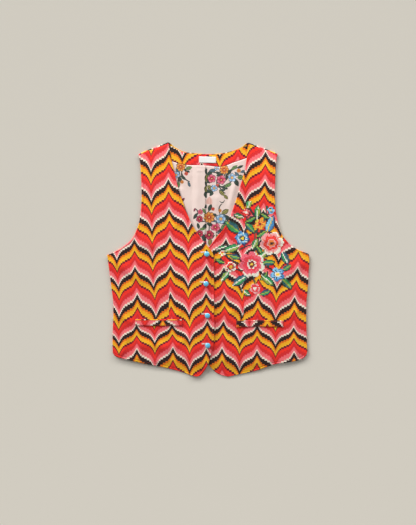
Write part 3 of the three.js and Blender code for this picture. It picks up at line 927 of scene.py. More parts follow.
# Leaves of the sprays by kind: x, y, half length, half width, turn
LEAVES = {
    Leaf.GREEN: (
        (-47, 219, 9, 4.6, 0.3), (-73, 178, 11, 5, 1.2), (77, 197, 8.5, 6, 0.0), (47, 178, 10, 4.6, 0.4),
        (62, 220, 10, 4, 0.6), (-10, 116, 8, 3.6, 2.1), (36, 79, 10, 4.4, 0.9), (-13, 74, 9, 4, 0.3),
        (22, 55, 9, 4.2, -0.6), (-148, 108, 10, 4, 0.6), (106, 76, 10, 4, -0.8), (-98, -82, 10, 4, 0.3),
        (66, -72, 10, 4, -0.4),
    ),
    Leaf.DARK: (
        (-52, 213, 9, 4, -0.5), (-68, 192, 10, 4.4, 1.9), (-60, 196, 9, 3.6, -0.7), (-70, 232, 9, 4, -0.4),
        (-3, 209, 11, 5, 1.9), (-2, 182, 13, 6.5, 1.7), (4, 161, 12, 6, -0.6), (-5, 156, 9, 6, 1.5),
        (3, 206, 9, 5, 0.7), (8, 158, 8, 4, 0.9), (-66, 118, 12, 6, 1.2), (21, 207, 11, 4.2, -0.5),
        (50, 209, 10, 4.2, 0.9), (67, 185, 11, 5.4, -1.1), (38, 172, 10, 4.2, -0.3), (34, 166, 8, 3.4, 0.2),
        (28, 203, 10, 4, 0.3), (20, 186, 9, 3.6, 1.2), (44, 198, 9, 3.8, 1.5), (24, 176, 8, 3.6, -0.3),
        (76, 222, 9, 3.2, 0.4), (-5, 122, 10, 4.4, 1.7), (4, 124, 10, 4.8, 1.2), (47, 98, 11, 5, -1.0),
        (-31, 104, 9, 4, 1.0), (-6, 80, 11, 5.4, 0.5), (4, 84, 9, 4.4, -0.3), (16, 106, 8, 3.8, -1.2),
        (-11, 52, 12, 5, -1.2), (13, 47, 10, 4.8, 0.9), (28, 70, 9, 3.8, -0.9), (36, 88, 8, 3.6, -0.5),
        (-24, 80, 8, 3.8, 1.8), (-66, 104, 10, 5, 0.2), (-122, 90, 10, 4, -0.7), (152, 92, 9, 4, 0.9),
        (-70, -98, 9, 4, -0.9), (118, -64, 9, 4, 0.7),
    ),
    Leaf.SLATE: (
        (-73, 211, 9, 4, 2.2), (-46, 180, 7, 3.4, -1.2), (10, 213, 10, 4.6, 0.2), (84, 211, 8, 3.6, 0.3),
        (69, 204, 9, 3.6, -0.8), (14, 91, 9, 4, -0.4), (30, 64, 9, 4, 0.2), (38, 104, 8, 3.6, 1.9),
    ),
    Leaf.OLIVE: (
        (-50, 228, 8, 3.6, 0.9), (-3, 196, 11, 6, 1.3), (-3, 171, 11, 6.5, 1.1), (4, 172, 9, 5, 2.4),
        (32, 160, 10, 4.8, -0.9), (42, 150, 8, 4, -0.8), (40, 114, 11, 6, 0.6), (4, 42, 10, 5, 1.4),
    ),
    Leaf.BLUSH: (
        (2, 138, 13, 8, 1.5),
    ),
    Leaf.CRIMSON: (
        (-62, 142, 8, 3.4, 0.8), (-33, 119, 5, 2.4, 1.2),
    ),
}
STEM_WIDTH = 1.7
# Stems of the sprays: x, y, half length, bend, turn
STEMS = (
    (-58, 196, 16, 4, -0.9), (-50, 188, 9, -3, -1.0), (-66, 200, 14, 3, 1.2), (-72, 190, 16, 3, 1.5),
    (2, 182, 26, 5, 1.5), (60, 216, 22, -5, 0.5), (30, 168, 14, 4, -1.0), (52, 184, 16, 5, 0.7),
    (26, 124, 14, -6, 1.3), (34, 136, 6, 5, 0.2), (20, 208, 18, 4, 0.1), (40, 204, 12, 3, 1.2),
    (-26, 116, 8, 3, 2.0), (2, 74, 26, 4, 1.5), (22, 66, 16, -4, 0.6), (-12, 48, 14, 4, 1.0),
    (36, 106, 14, 4, 0.9), (-8, 92, 14, 4, 0.3),
)


def turned(x: float, y: float, angle: float) -> tuple[float, float]:
    """Return a plan offset turned by an angle."""
    cosine, sine = math.cos(angle), math.sin(angle)
    return x * cosine + y * sine, y * cosine - x * sine


def map_sprays(bm: Skin) -> None:
    """Give each face of the lining its place in the nearest blossom, leaf and stem.

    A motif's layer holds the place along and aside in shares of its size, and the number of its kind.

    Args:
        bm: The lining, in millimetres.
    """
    layers = [bm.loops.layers.float_vector.new(name) for name in ("bloom", "leaf", "stem")]

    def bloom(motif: tuple, x: float, y: float) -> tuple[float, float, float]:
        """Return the place in a blossom."""
        motif_x, motif_y, radius, turn, kind = motif
        return (*turned((x - motif_x) / radius, (y - motif_y) / radius, turn), list(Bloom).index(kind))

    def leaf(motif: tuple, x: float, y: float) -> tuple[float, float, float]:
        """Return the place in a leaf.

        Args:
            motif: The motif's row.
            x: The point's x.
            y: Its y.

        Returns:
            The place along and aside, and the kind's number.
        """
        motif_x, motif_y, length, width, turn, kind = motif
        along, aside = turned(x - motif_x, y - motif_y, turn)
        return along / length, aside / width, list(Leaf).index(kind)

    def stem(motif: tuple, x: float, y: float) -> tuple[float, float, float]:
        """Return the place on a stem.

        Args:
            motif: The motif's row.
            x: The point's x.
            y: Its y.

        Returns:
            The place along and aside.
        """
        motif_x, motif_y, length, bend, turn = motif
        along, aside = turned(x - motif_x, y - motif_y, turn)
        along /= length
        return along, (aside - bend * along * along) / STEM_WIDTH, 0.0

    blooms, leaves = ([(*row, kind) for kind in table for row in table[kind]] for table in (BLOOMS, LEAVES))
    for layer, motifs, place in zip(layers, (blooms, leaves, STEMS), (bloom, leaf, stem)):
        tree = KDTree(len(motifs))
        for number, motif in enumerate(motifs):
            tree.insert((*motif[:2], 0.0), number)
        tree.balance()
        for face in bm.faces:
            x, y, _ = face.calc_center_median()
            around = [motifs[number] for _, number, _ in tree.find_n((x, y, 0.0), 5)]
            nearest = min(around, key=lambda motif: math.hypot(*place(motif, x, y)[:2]))
            for loop in face.loops:
                loop[layer] = place(nearest, loop.vert.co.x, loop.vert.co.y)


@dataclass(frozen=True)
class LiningCotton:
    """The pale cotton of the lining with its scattered flower sprays."""

    name: str = "lining_cotton"
    ground: Colour = srgb(250, 232, 223)
    shade: Colour = srgb(234, 204, 194)
    ink: Colour = srgb(46, 54, 48)
    stamens: Colour = srgb(246, 206, 120)
    pitch: float = 0.0005
    roughness: float = 0.72

    def material(self, weave: Tree) -> Material:
        """Return the material.

        Args:
            weave: The node group of the weave.

        Returns:
            The finished material, with stems, leaves and blossoms painted in that order.
        """
        material, graph, shader = new_material(self.name)
        place = graph.place()
        ragged = graph.math("MULTIPLY_ADD", graph.noise(place, 450.0, 1.0), 0.4, -0.2)
        colour = graph.mix(graph.noise(place, 14.0, 3.0), self.ground, self.shade)
        colour = self.stems(graph, colour)
        colour = self.leaves(graph, colour, ragged)
        colour = self.blooms(graph, colour, ragged)
        cloth = graph.group(weave, Place=place, Pitch=self.pitch, Slant=0.0)
        tone = graph.math("MULTIPLY_ADD", cloth["Shade"], 0.08, 0.84)
        puckers = bump(graph, graph.noise(place, 55.0, 2.0), 0.0012, 0.3)
        graph.feed_all(shader, {
            "Base Color": graph.toned(colour, tone),
            "Normal": bump(graph, cloth["Height"], 0.00006, 0.4, puckers),
            "Roughness": self.roughness, "Sheen Weight": 0.08,
        })
        return material

    @staticmethod
    def kinds(graph: Graph, number: object, inks: type[Enum], part: str) -> Socket:
        """Choose a part's colour by the number of the motif's kind.

        Args:
            graph: The material's graph.
            number: The number.
            inks: The kinds.
            part: The part's name.

        Returns:
            The colour.
        """
        share = graph.math("MULTIPLY_ADD", number, 1 / len(inks), 0.5 / len(inks))
        stops = [(k / len(inks), getattr(kind.value, part)) for k, kind in enumerate(inks)]
        return graph.ramp(share, stops, True)

    def stems(self, graph: Graph, under: object) -> object:
        """Paint the stems over a colour and return it.

        Args:
            graph: The material's graph.
            under: The colour below.

        Returns:
            The painted colour.
        """
        along, aside, _ = graph.stored("stem")
        inside = graph.clamp(graph.math("ABSOLUTE", aside), 1.0, 0.6)
        inside = graph.math("MULTIPLY", inside, graph.math("LESS_THAN", graph.math("ABSOLUTE", along), 1.0))
        return graph.mix(inside, under, self.ink)

    def leaves(self, graph: Graph, under: object, ragged: object) -> object:
        """Paint the leaves over a colour and return it.

        Args:
            graph: The material's graph.
            under: The colour below.
            ragged: How far the edges waver.

        Returns:
            The painted colour.
        """
        along, aside, kind = graph.stored("leaf")
        taper = graph.math("MAXIMUM", graph.math("SUBTRACT", 1.0, graph.math("MULTIPLY", along, along)), 1e-3)
        share = graph.math("ADD", graph.math("DIVIDE", graph.math("ABSOLUTE", aside), taper), ragged)
        edge = graph.math("MAXIMUM", graph.clamp(share, 0.5, 0.8), graph.clamp(share, 0.18, 0.06))
        blade, rim = (self.kinds(graph, kind, Leaf, part) for part in ("blade", "rim"))
        colour = graph.mix(edge, blade, rim)
        inside = graph.math("LESS_THAN", graph.math("ABSOLUTE", along), 1.0)
        return graph.mix(graph.math("MULTIPLY", graph.clamp(share, 1.05, 0.95), inside), under, colour)

    def blooms(self, graph: Graph, under: object, ragged: object) -> object:
        """Paint the blossoms over a colour and return it.

        Args:
            graph: The material's graph.
            under: The colour below.
            ragged: How far the edges waver.

        Returns:
            The painted colour.
        """
        x, y, kind = graph.stored("bloom")
        petals = graph.split(self.kinds(graph, kind, Bloom, "count"))[0]
        petal, rim, heart, outline = (
            self.kinds(graph, kind, Bloom, part) for part in ("petal", "rim", "heart", "outline")
        )
        half = graph.math("MULTIPLY", graph.math("MULTIPLY", graph.math("ARCTAN2", y, x), petals), 8.0)
        lobe = graph.math("ABSOLUTE", graph.math("COSINE", half))
        far = graph.math("SQRT", graph.math("MULTIPLY_ADD", x, x, graph.math("MULTIPLY", y, y)))
        share = graph.math("DIVIDE", far, graph.math("MULTIPLY_ADD", lobe, 0.17, 0.83))
        share = graph.math("ADD", share, graph.math("MULTIPLY", ragged, 0.7))
        swirl = graph.math("ABSOLUTE", graph.math("SINE", graph.math("MULTIPLY_ADD", share, 3.0, half)))
        rims = graph.math("MULTIPLY", graph.clamp(share, 0.4, 0.8), graph.clamp(swirl, 0.2, 0.7))
        colour = graph.mix(graph.clamp(share, 0.4, 0.26), graph.mix(rims, petal, rim), heart)
        lines = graph.math("MAXIMUM", graph.clamp(share, 0.82, 0.92), graph.clamp(lobe, 0.26, 0.08))
        colour = graph.mix(graph.math("MULTIPLY", lines, graph.clamp(share, 0.3, 0.5)), colour, outline)
        colour = graph.mix(graph.clamp(share, 0.16, 0.1), colour, self.stamens)
        return graph.mix(graph.clamp(share, 1.02, 0.94), under, colour)


@dataclass(frozen=True)
class LabelSatin:
    """The bare woven satin of the neck label."""

    name: str = "label_satin"
    colour: Colour = srgb(238, 237, 234)
    shade: Colour = srgb(214, 212, 208)
    pitch: float = 0.0004
    roughness: float = 0.42

    def material(self, weave: Tree) -> Material:
        """Return the material, made on the node group of the weave.

        Args:
            weave: The node group of the weave.

        Returns:
            The finished material.
        """
        material, graph, shader = new_material(self.name)
        cloth = graph.group(weave, Place=graph.place(), Pitch=self.pitch, Slant=0.0)
        graph.feed_all(shader, {
            "Base Color": graph.mix(graph.math("MULTIPLY", cloth["Shade"], 0.2), self.colour, self.shade),
            "Normal": bump(graph, cloth["Height"], 0.00004, 0.4),
            "Roughness": self.roughness,
        })
        return material


@dataclass(frozen=True)
class ButtonResin:
    """The glossy turquoise resin of the buttons, with faint paler veins."""

    name: str = "button_resin"
    colour: Colour = srgb(84, 198, 240)
    vein: Colour = srgb(150, 226, 250)
    roughness: float = 0.16

    def material(self) -> Material:
        """Return the material.

        Returns:
            The finished material.
        """
        material, graph, shader = new_material(self.name)
        pattern = {"Vector": graph.place(), "Scale": 260.0, "Detail": 4.0, "Distortion": 1.6}
        swirl = graph.fed("ShaderNodeTexNoise", pattern)[0]
        veins = graph.clamp(graph.math("ABSOLUTE", graph.math("SUBTRACT", swirl, 0.5)), 0.06, 0.0)
        graph.feed_all(shader, {
            "Base Color": graph.mix(graph.math("MULTIPLY", veins, 0.5), self.colour, self.vein),
            "Normal": bump(graph, swirl, 0.00008, 0.2),
            "Roughness": self.roughness, "Coat Weight": 1.0, "Coat Roughness": 0.17, "Coat IOR": 1.9,
        })
        return material


@dataclass(frozen=True)
class Thread:
    """A spun sewing thread of one colour, or of the piece's own thread colours."""

    name: str
    colour: Colour | None = None
    roughness: float = 0.6

    def material(self) -> Material:
        """Return the material.

        Returns:
            The finished material.
        """
        material, graph, shader = new_material(self.name)
        strands = graph.noise(graph.place(), 3200.0, 1.0)
        colour = self.colour or graph.add("ShaderNodeAttribute", attribute_name="thread").outputs["Color"]
        tone = graph.math("MULTIPLY_ADD", strands, 0.3, 0.85)
        graph.feed_all(shader, {
            "Base Color": graph.toned(colour, tone), "Normal": bump(graph, strands, 0.00008, 0.4),
            "Roughness": self.roughness, "Sheen Weight": 0.15,
        })
        return material


@dataclass
class Finishes:
    """Every material of the garment, made once."""

    twill: Material = field(init=False)
    lining: Material = field(init=False)
    label: Material = field(init=False)
    resin: Material = field(init=False)
    red_thread: Material = field(init=False)
    pale_thread: Material = field(init=False)
    floss: Material = field(init=False)

    def __post_init__(self) -> None:
        """Build the shared groups and the materials."""
        weave = weave_group()
        self.twill = Twill().material(FlamePrint().group(), weave)
        self.lining = LiningCotton().material(weave)
        self.label = LabelSatin().material(weave)
        self.resin = ButtonResin().material()
        self.red_thread = Thread("red_thread", srgb(176, 40, 44)).material()
        self.pale_thread = Thread("pale_thread", srgb(248, 222, 214)).material()
        self.floss = Thread("stranded_floss").material()


def mesh_of(bm: Skin, name: str) -> bpy.types.Mesh:
    """Return a new mesh with the faces of a bmesh, which is freed.

    Args:
        bm: The bmesh.
        name: The mesh's name.

    Returns:
        The mesh.
    """
    mesh = bpy.data.meshes.new(name)
    bm.to_mesh(mesh)
    bm.free()
    return mesh


def linked(name: str, data: bpy.types.ID) -> Piece:
    """Return a new object of the scene.

    Args:
        name: The object's name.
        data: What it holds.

    Returns:
        The object.
    """
    made = bpy.data.objects.new(name, data)
    bpy.context.collection.objects.link(made)
    return made


def finished(bm: Skin, name: str, material: Material) -> Piece:
    """Turn a mesh in millimetres into a piece that rides on the body.

    Args:
        bm: The mesh, which is freed.
        name: The piece's name.
        material: Its finish.

    Returns:
        The new object.
    """
    bmesh.ops.scale(bm, vec=(MM, MM, MM), verts=bm.verts)
    mesh = mesh_of(bm, name)
    mesh.materials.append(material)
    mesh.shade_smooth()
    piece = linked(name, mesh)
    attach(piece, BODY)
    log.info("%s: %d faces", name, len(mesh.polygons))
    return piece


def laid_cloth(columns: int, rows: int, place: Callable[[int, int], Vector]) -> Skin:
    """Make one skin of cloth from a grid.

    Args:
        columns: How many columns of points.
        rows: How many rows of points, counted from the top.
        place: The point of a row and a column.

    Returns:
        The mesh, with its faces turned up.
    """
    bm = bmesh.new()
    bmesh.ops.create_grid(bm, x_segments=columns - 1, y_segments=rows - 1, size=1.0)
    for vertex in bm.verts:
        column = round((vertex.co.x + 1) / 2 * (columns - 1))
        row = round((1 - vertex.co.y) / 2 * (rows - 1))
        vertex.co = place(row, column)
    bmesh.ops.recalc_face_normals(bm, faces=bm.faces)
    if sum(face.normal.z * face.calc_area() for face in bm.faces) < 0:
        bmesh.ops.reverse_faces(bm, faces=bm.faces)
    return bm


def map_print(bm: Skin, layout: PrintLayout, dart: Dart | None = None) -> None:
    """Give a skin its print map, which jumps at the dart.

    Args:
        bm: The skin, in millimetres.
        layout: Where the print lies.
        dart: The dart of a front.
    """
    layer = bm.loops.layers.uv.new("print")
    for face in bm.faces:
        beside = dart and face.calc_center_median().x < dart.x
        for loop in face.loops:
            x, y, _ = loop.vert.co
            if beside:
                x -= dart.taken(x, y)
            loop[layer].uv = layout.at(x, y)


def laid_piece(
    bm: Skin, name: str, finish: Material, node: str, shell: float,
    rests_on: Sequence[str],
) -> Piece:
    """Turn a skin of cloth into a laid sheet that stands for its node.

    Args:
        bm: The skin, in millimetres, which is freed.
        name: The piece's name.
        finish: Its material.
        node: The solid that it stands for.
        shell: The thickness that it gets below its faces.
        rests_on: Not used.

    Returns:
        The cloth.
    """
    area = sum(face.calc_area() for face in bm.faces)
    piece = finished(bm, name, finish)
    wall = piece.modifiers.new("wall", "SOLIDIFY")
    wall.thickness = shell * MM
    wall.offset = -1.0
    wall.use_quality_normals = True
    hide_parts(node)
    xs, ys = zip(*((v.co.x, v.co.y) for v in piece.data.vertices))
    width, length = max(xs) - min(xs), max(ys) - min(ys)
    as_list(rests_on)
    return piece


# Distances from an edge, in millimetres, at which columns and rows lie close for its roll and stitching
EDGE_STEPS = (0, 0.35, 0.9, 1.6, 2.4, 3.4, 4.4, 5.2, 6.0, 7.2, 9.0)
EDGE_STITCH = 5.2


def graded(length: float, step: float, first: bool, last: bool) -> list[float]:
    """Return shares from 0 to 1 over a length, close together at the ends that ask for it.

    Args:
        length: The length, in millimetres.
        step: The distance between shares away from the ends.
        first: Whether the start asks for it.
        last: Whether the end does.

    Returns:
        The shares.
    """
    start = [d / length for d in EDGE_STEPS] if first else [0.0]
    end = [1 - d / length for d in reversed(EDGE_STEPS)] if last else [1.0]
    middle = spread(start[-1], end[0], max(2, round((end[0] - start[-1]) * length / step)))
    return [*start[:-1], *middle, *end[1:]]


def halved(upper: Sequence[float], lower: Sequence[float]) -> list[float]:
    """Return a panel's rows from shares of the way to the underarm and of the way past it."""
    return [v * UNDERARM for v in upper] + [UNDERARM + v * (1 - UNDERARM) for v in lower[1:]]


def edge_roll(distance: float) -> float:
    """Return the height of a turned and stitched edge over the flat cloth at a distance from the edge."""
    roll = -1.0 * (1 - round_over(distance, 1.5))
    return roll + 0.4 * bell(distance - 2.6, 1.5) - 0.45 * bell(distance - EDGE_STITCH, 0.9)


@dataclass
class Front:
    """One front: its outline, creases and dart, and what is sewn on it."""

    side: str
    edges: dict[str, Rows]
    creases: tuple[Crease, ...]
    dart: Dart
    laps: bool
    panel: Panel = field(init=False)
    neck: Table = field(init=False)

    def __post_init__(self) -> None:
        """Lay out the plan."""
        shoulder = shifted(self.edges["shoulder"], 0, -(SHOULDER_ROLL + GAP))
        outer = side_edge([shoulder[0], *self.edges["armhole"]], self.edges["side"])
        inner = side_edge([shoulder[-1], *self.edges["neck"]], self.edges["front"])
        self.panel = Panel(outer, inner, SmoothLine(shoulder), SmoothLine(self.edges["hem"]))
        self.neck = Table((y, x) for x, y in self.edges["neck"])

    def height(self, x: float, y: float) -> float:
        """Return the height of the cloth's outer face over a point, away from its edges.

        Args:
            x: The point's x.
            y: Its y.

        Returns:
            The height.
        """
        clear = smoothstep(abs(x - BUTTON_LINE), *BUTTON_CLEARANCE)
        ridges = sum(crease.height(x, y) for crease in self.creases)
        height = FRONT_TOP + pleat_lift(x) - hem_drop(x, y) + self.dart.height(x, y) + ridges * clear
        height += clear * sum(rise * uneven(x, y, size, seed) for rise, size, seed in FRONT_LUMPS)
        height += neck_lift(self.neck(y), x, y) + sum(crease.height(x, y) for crease in LAP_CREASES)
        return height + (lap_lift(x, y) if self.laps else 0.0)

    def build(self, finish: Material) -> Piece:
        """Build the front's cloth.

        Args:
            finish: The printed twill.

        Returns:
            The front, as a laid sheet.
        """
        columns = graded(245, 3.4, True, True)
        rows = halved(graded(260, 3.6, False, False), graded(240, 3.6, False, True))
        dart_share = self.panel.column(0.75, self.dart.x)
        pivot = min(columns, key=lambda u: abs(u - dart_share))
        grid = [self.row(columns, v, pivot) for v in rows]
        bm = laid_cloth(len(columns), len(rows), lambda i, j: grid[i][j])
        map_print(bm, LAYOUTS[self.side], self.dart)
        name, below = f"front_{self.side}", ["lining_cloth", "back_cloth"]
        return laid_piece(bm, f"{name}_cloth", finish, name, FRONT_SHELL, below)

    def row(self, columns: Sequence[float], v: float, pivot: float) -> list[Vector]:
        """Return a row of the outer face's points, with the pivot's column bent on to the dart.

        Args:
            columns: The shares from left to right.
            v: The row.
            pivot: The column that follows the dart.

        Returns:
            The points.
        """
        held = lerp(pivot, self.panel.column(v, self.dart.x), smoothstep(v, 0.3, 0.5))
        start, end = self.panel.at(0, v), self.panel.at(1, v)
        rolled = smoothstep(v, UNDERARM, UNDERARM + 0.04) * (1 - smoothstep(v, 0.95, 1))
        points = []
        for u in columns:
            u = u * held / pivot if u < pivot else lerp(held, 1, (u - pivot) / (1 - pivot))
            plan = self.panel.at(u, v)
            outer, inner, hem = ((plan - edge).length for edge in (start, end, self.panel.bottom(u)))
            flat = self.height(plan.x, plan.y)
            seam = lerp(SIDE_SEAM_HEIGHT + GAP / 2, flat, round_over(outer, SIDE_ROLL))
            height = lerp(flat + edge_roll(outer), seam, rolled) + edge_roll(min(inner, hem))
            points.append(Vector((plan.x, plan.y, max(height, GAP + FRONT_SHELL))))
        return points


# The buttons' line, and the distances from it over which the cloth begins to crease
BUTTON_LINE = -3.7
BUTTON_CLEARANCE = (22.0, 46.0)
# Soft lumps of the fronts: rise, size, seed
FRONT_LUMPS = ((0.5, 46, 3.1), (0.22, 17, 8.4))
# Ridges that both fronts share where they lap
LAP_CREASES = (
    Crease(15, -84, 12, -206, 3.0, 7), Crease(-26, -118, -6, -126, 0.7, 6),
    Crease(-34, -176, 2, -186, 0.8, 6), Crease(18, -30, 17, -84, 0.7, 8),
    Crease(2, -232, 8, -200, 0.7, 6),
)
FRONTS = (
    Front(
        side="right",
        edges=RIGHT_EDGES,
        creases=(
            Crease(-228, -2, -140, -62, 2.4, 12), Crease(-206, -228, -190, -168, 2.2, 8),
            Crease(-168, -240, -160, -180, 1.8, 7), Crease(-122, -250, -130, -178, 1.7, 8),
            Crease(-28, -162, -80, -214, 1.6, 8), Crease(-30, -52, -82, -24, 1.5, 9),
            Crease(-148, 236, -132, 132, 1.5, 10), Crease(-172, 40, -98, 26, 1.8, 11),
            Crease(-222, -128, -172, -158, 1.8, 7), Crease(-214, -30, -150, -84, -1.0, 6),
            Crease(-96, -246, -104, -204, 1.4, 6), Crease(-52, -116, -96, -146, 1.2, 7),
            Crease(-60, 96, -96, 66, 1.2, 8), Crease(-46, -240, -66, -214, 1.6, 7),
            Crease(-156, -202, -76, -214, 2.6, 11),
        ),
        dart=Dart(-94.5, -44, -132, 8.0),
        laps=True,
    ),
    Front(
        side="left",
        edges=LEFT_EDGES,
        creases=(
            Crease(230, -6, 150, -58, 2.4, 12), Crease(212, -232, 198, -176, 2.0, 9),
            Crease(150, -244, 158, -184, 1.8, 8), Crease(74, -262, 66, -190, 1.8, 9),
            Crease(44, -128, 96, -112, 1.5, 8), Crease(40, -20, 96, 8, 1.5, 10),
            Crease(146, 232, 134, 140, 1.5, 10), Crease(176, 42, 108, 50, 1.7, 11),
            Crease(222, -120, 186, -142, 1.6, 7), Crease(222, -34, 164, -82, -1.0, 6),
            Crease(112, -256, 108, -210, 1.4, 6), Crease(28, -180, 60, -206, 1.4, 7),
            Crease(26, -84, 58, -66, 1.2, 7), Crease(36, -244, 60, -214, 1.5, 7),
        ),
        dart=Dart(84, -58, -128, 5.0),
        laps=False,
    ),
)
RIGHT_FRONT, LEFT_FRONT = FRONTS


@dataclass
class Back:
    """The back panel, which turns over the shoulder ridge to meet the fronts."""

    neck: tuple[float, float] = (0.235, 0.765)
    neck_fade: float = 0.03
    curl_steps: int = 9
    panel: Panel = field(init=False)

    def __post_init__(self) -> None:
        """Lay out the plan."""
        stretches = (RIGHT_EDGES["shoulder"], BACK_NECK, LEFT_EDGES["shoulder"][::-1])
        ridge = chain([SmoothLine(rows) for rows in stretches], [*self.neck, 1])

        def foot(u: float) -> Vector:
            """Return the line at which the panel starts to turn up."""
            return ridge(u) - Vector((0, SHOULDER_ROLL))

        sides = [
            side_edge([tuple(start), *edges["armhole"]], edges["side"])
            for start, edges in ((foot(0), RIGHT_EDGES), (foot(1), LEFT_EDGES))
        ]
        self.panel = Panel(*sides, foot, SmoothLine(BACK_HEM))

    def build(self, finish: Material) -> Piece:
        """Build the back's cloth from the printed twill and return it.

        Args:
            finish: The cloth's material.

        Returns:
            The back, as a laid sheet.
        """
        columns = graded(480, 6.0, True, True)
        rows = halved(spread(0, 1, 46), graded(240, 6.0, False, True))
        curl = spread(1, 1 / self.curl_steps, self.curl_steps - 1)
        grid = [[self.curled(u, share) for u in columns] for share in curl]
        grid += [[self.point(u, v) for u in columns] for v in rows]
        bm = laid_cloth(len(columns), len(grid), lambda i, j: grid[i][j])
        bmesh.ops.reverse_faces(bm, faces=bm.faces)
        map_print(bm, LAYOUTS["back"])
        return laid_piece(bm, "back_cloth", finish, "back_panel", BACK_WALL, [])

    def point(self, u: float, v: float) -> Vector:
        """Return the underside's point.

        Args:
            u: The share from left to right.
            v: The row.

        Returns:
            The point.
        """
        plan = self.panel.at(u, v)
        edge = min((plan - self.panel.at(0, v)).length, (plan - self.panel.at(1, v)).length)
        rolled = smoothstep(v, UNDERARM, UNDERARM + 0.04) * (1 - smoothstep(v, 0.95, 1))
        height = (SIDE_SEAM_HEIGHT - GAP / 2) * (1 - round_over(edge, SIDE_ROLL)) * rolled
        return Vector((plan.x, plan.y, height))

    def curled(self, u: float, share: float) -> Vector:
        """Return a point of the cloth past the shoulder's foot, turned over the ridge.

        Args:
            u: The share from left to right.
            share: The share of the turn, 1 at the cloth's end.

        Returns:
            The point.
        """
        start, end = self.neck
        middle = smoothstep(u, start, start + self.neck_fade) * (1 - smoothstep(u, end - self.neck_fade, end))
        turn = max(math.pi * (1 - middle), 1e-3)
        radius = SHOULDER_ROLL * lerp(math.pi, 1, middle) / turn
        foot, angle = self.panel.top(u), turn * share
        return Vector((foot.x, foot.y + radius * math.sin(angle), radius * (1 - math.cos(angle))))


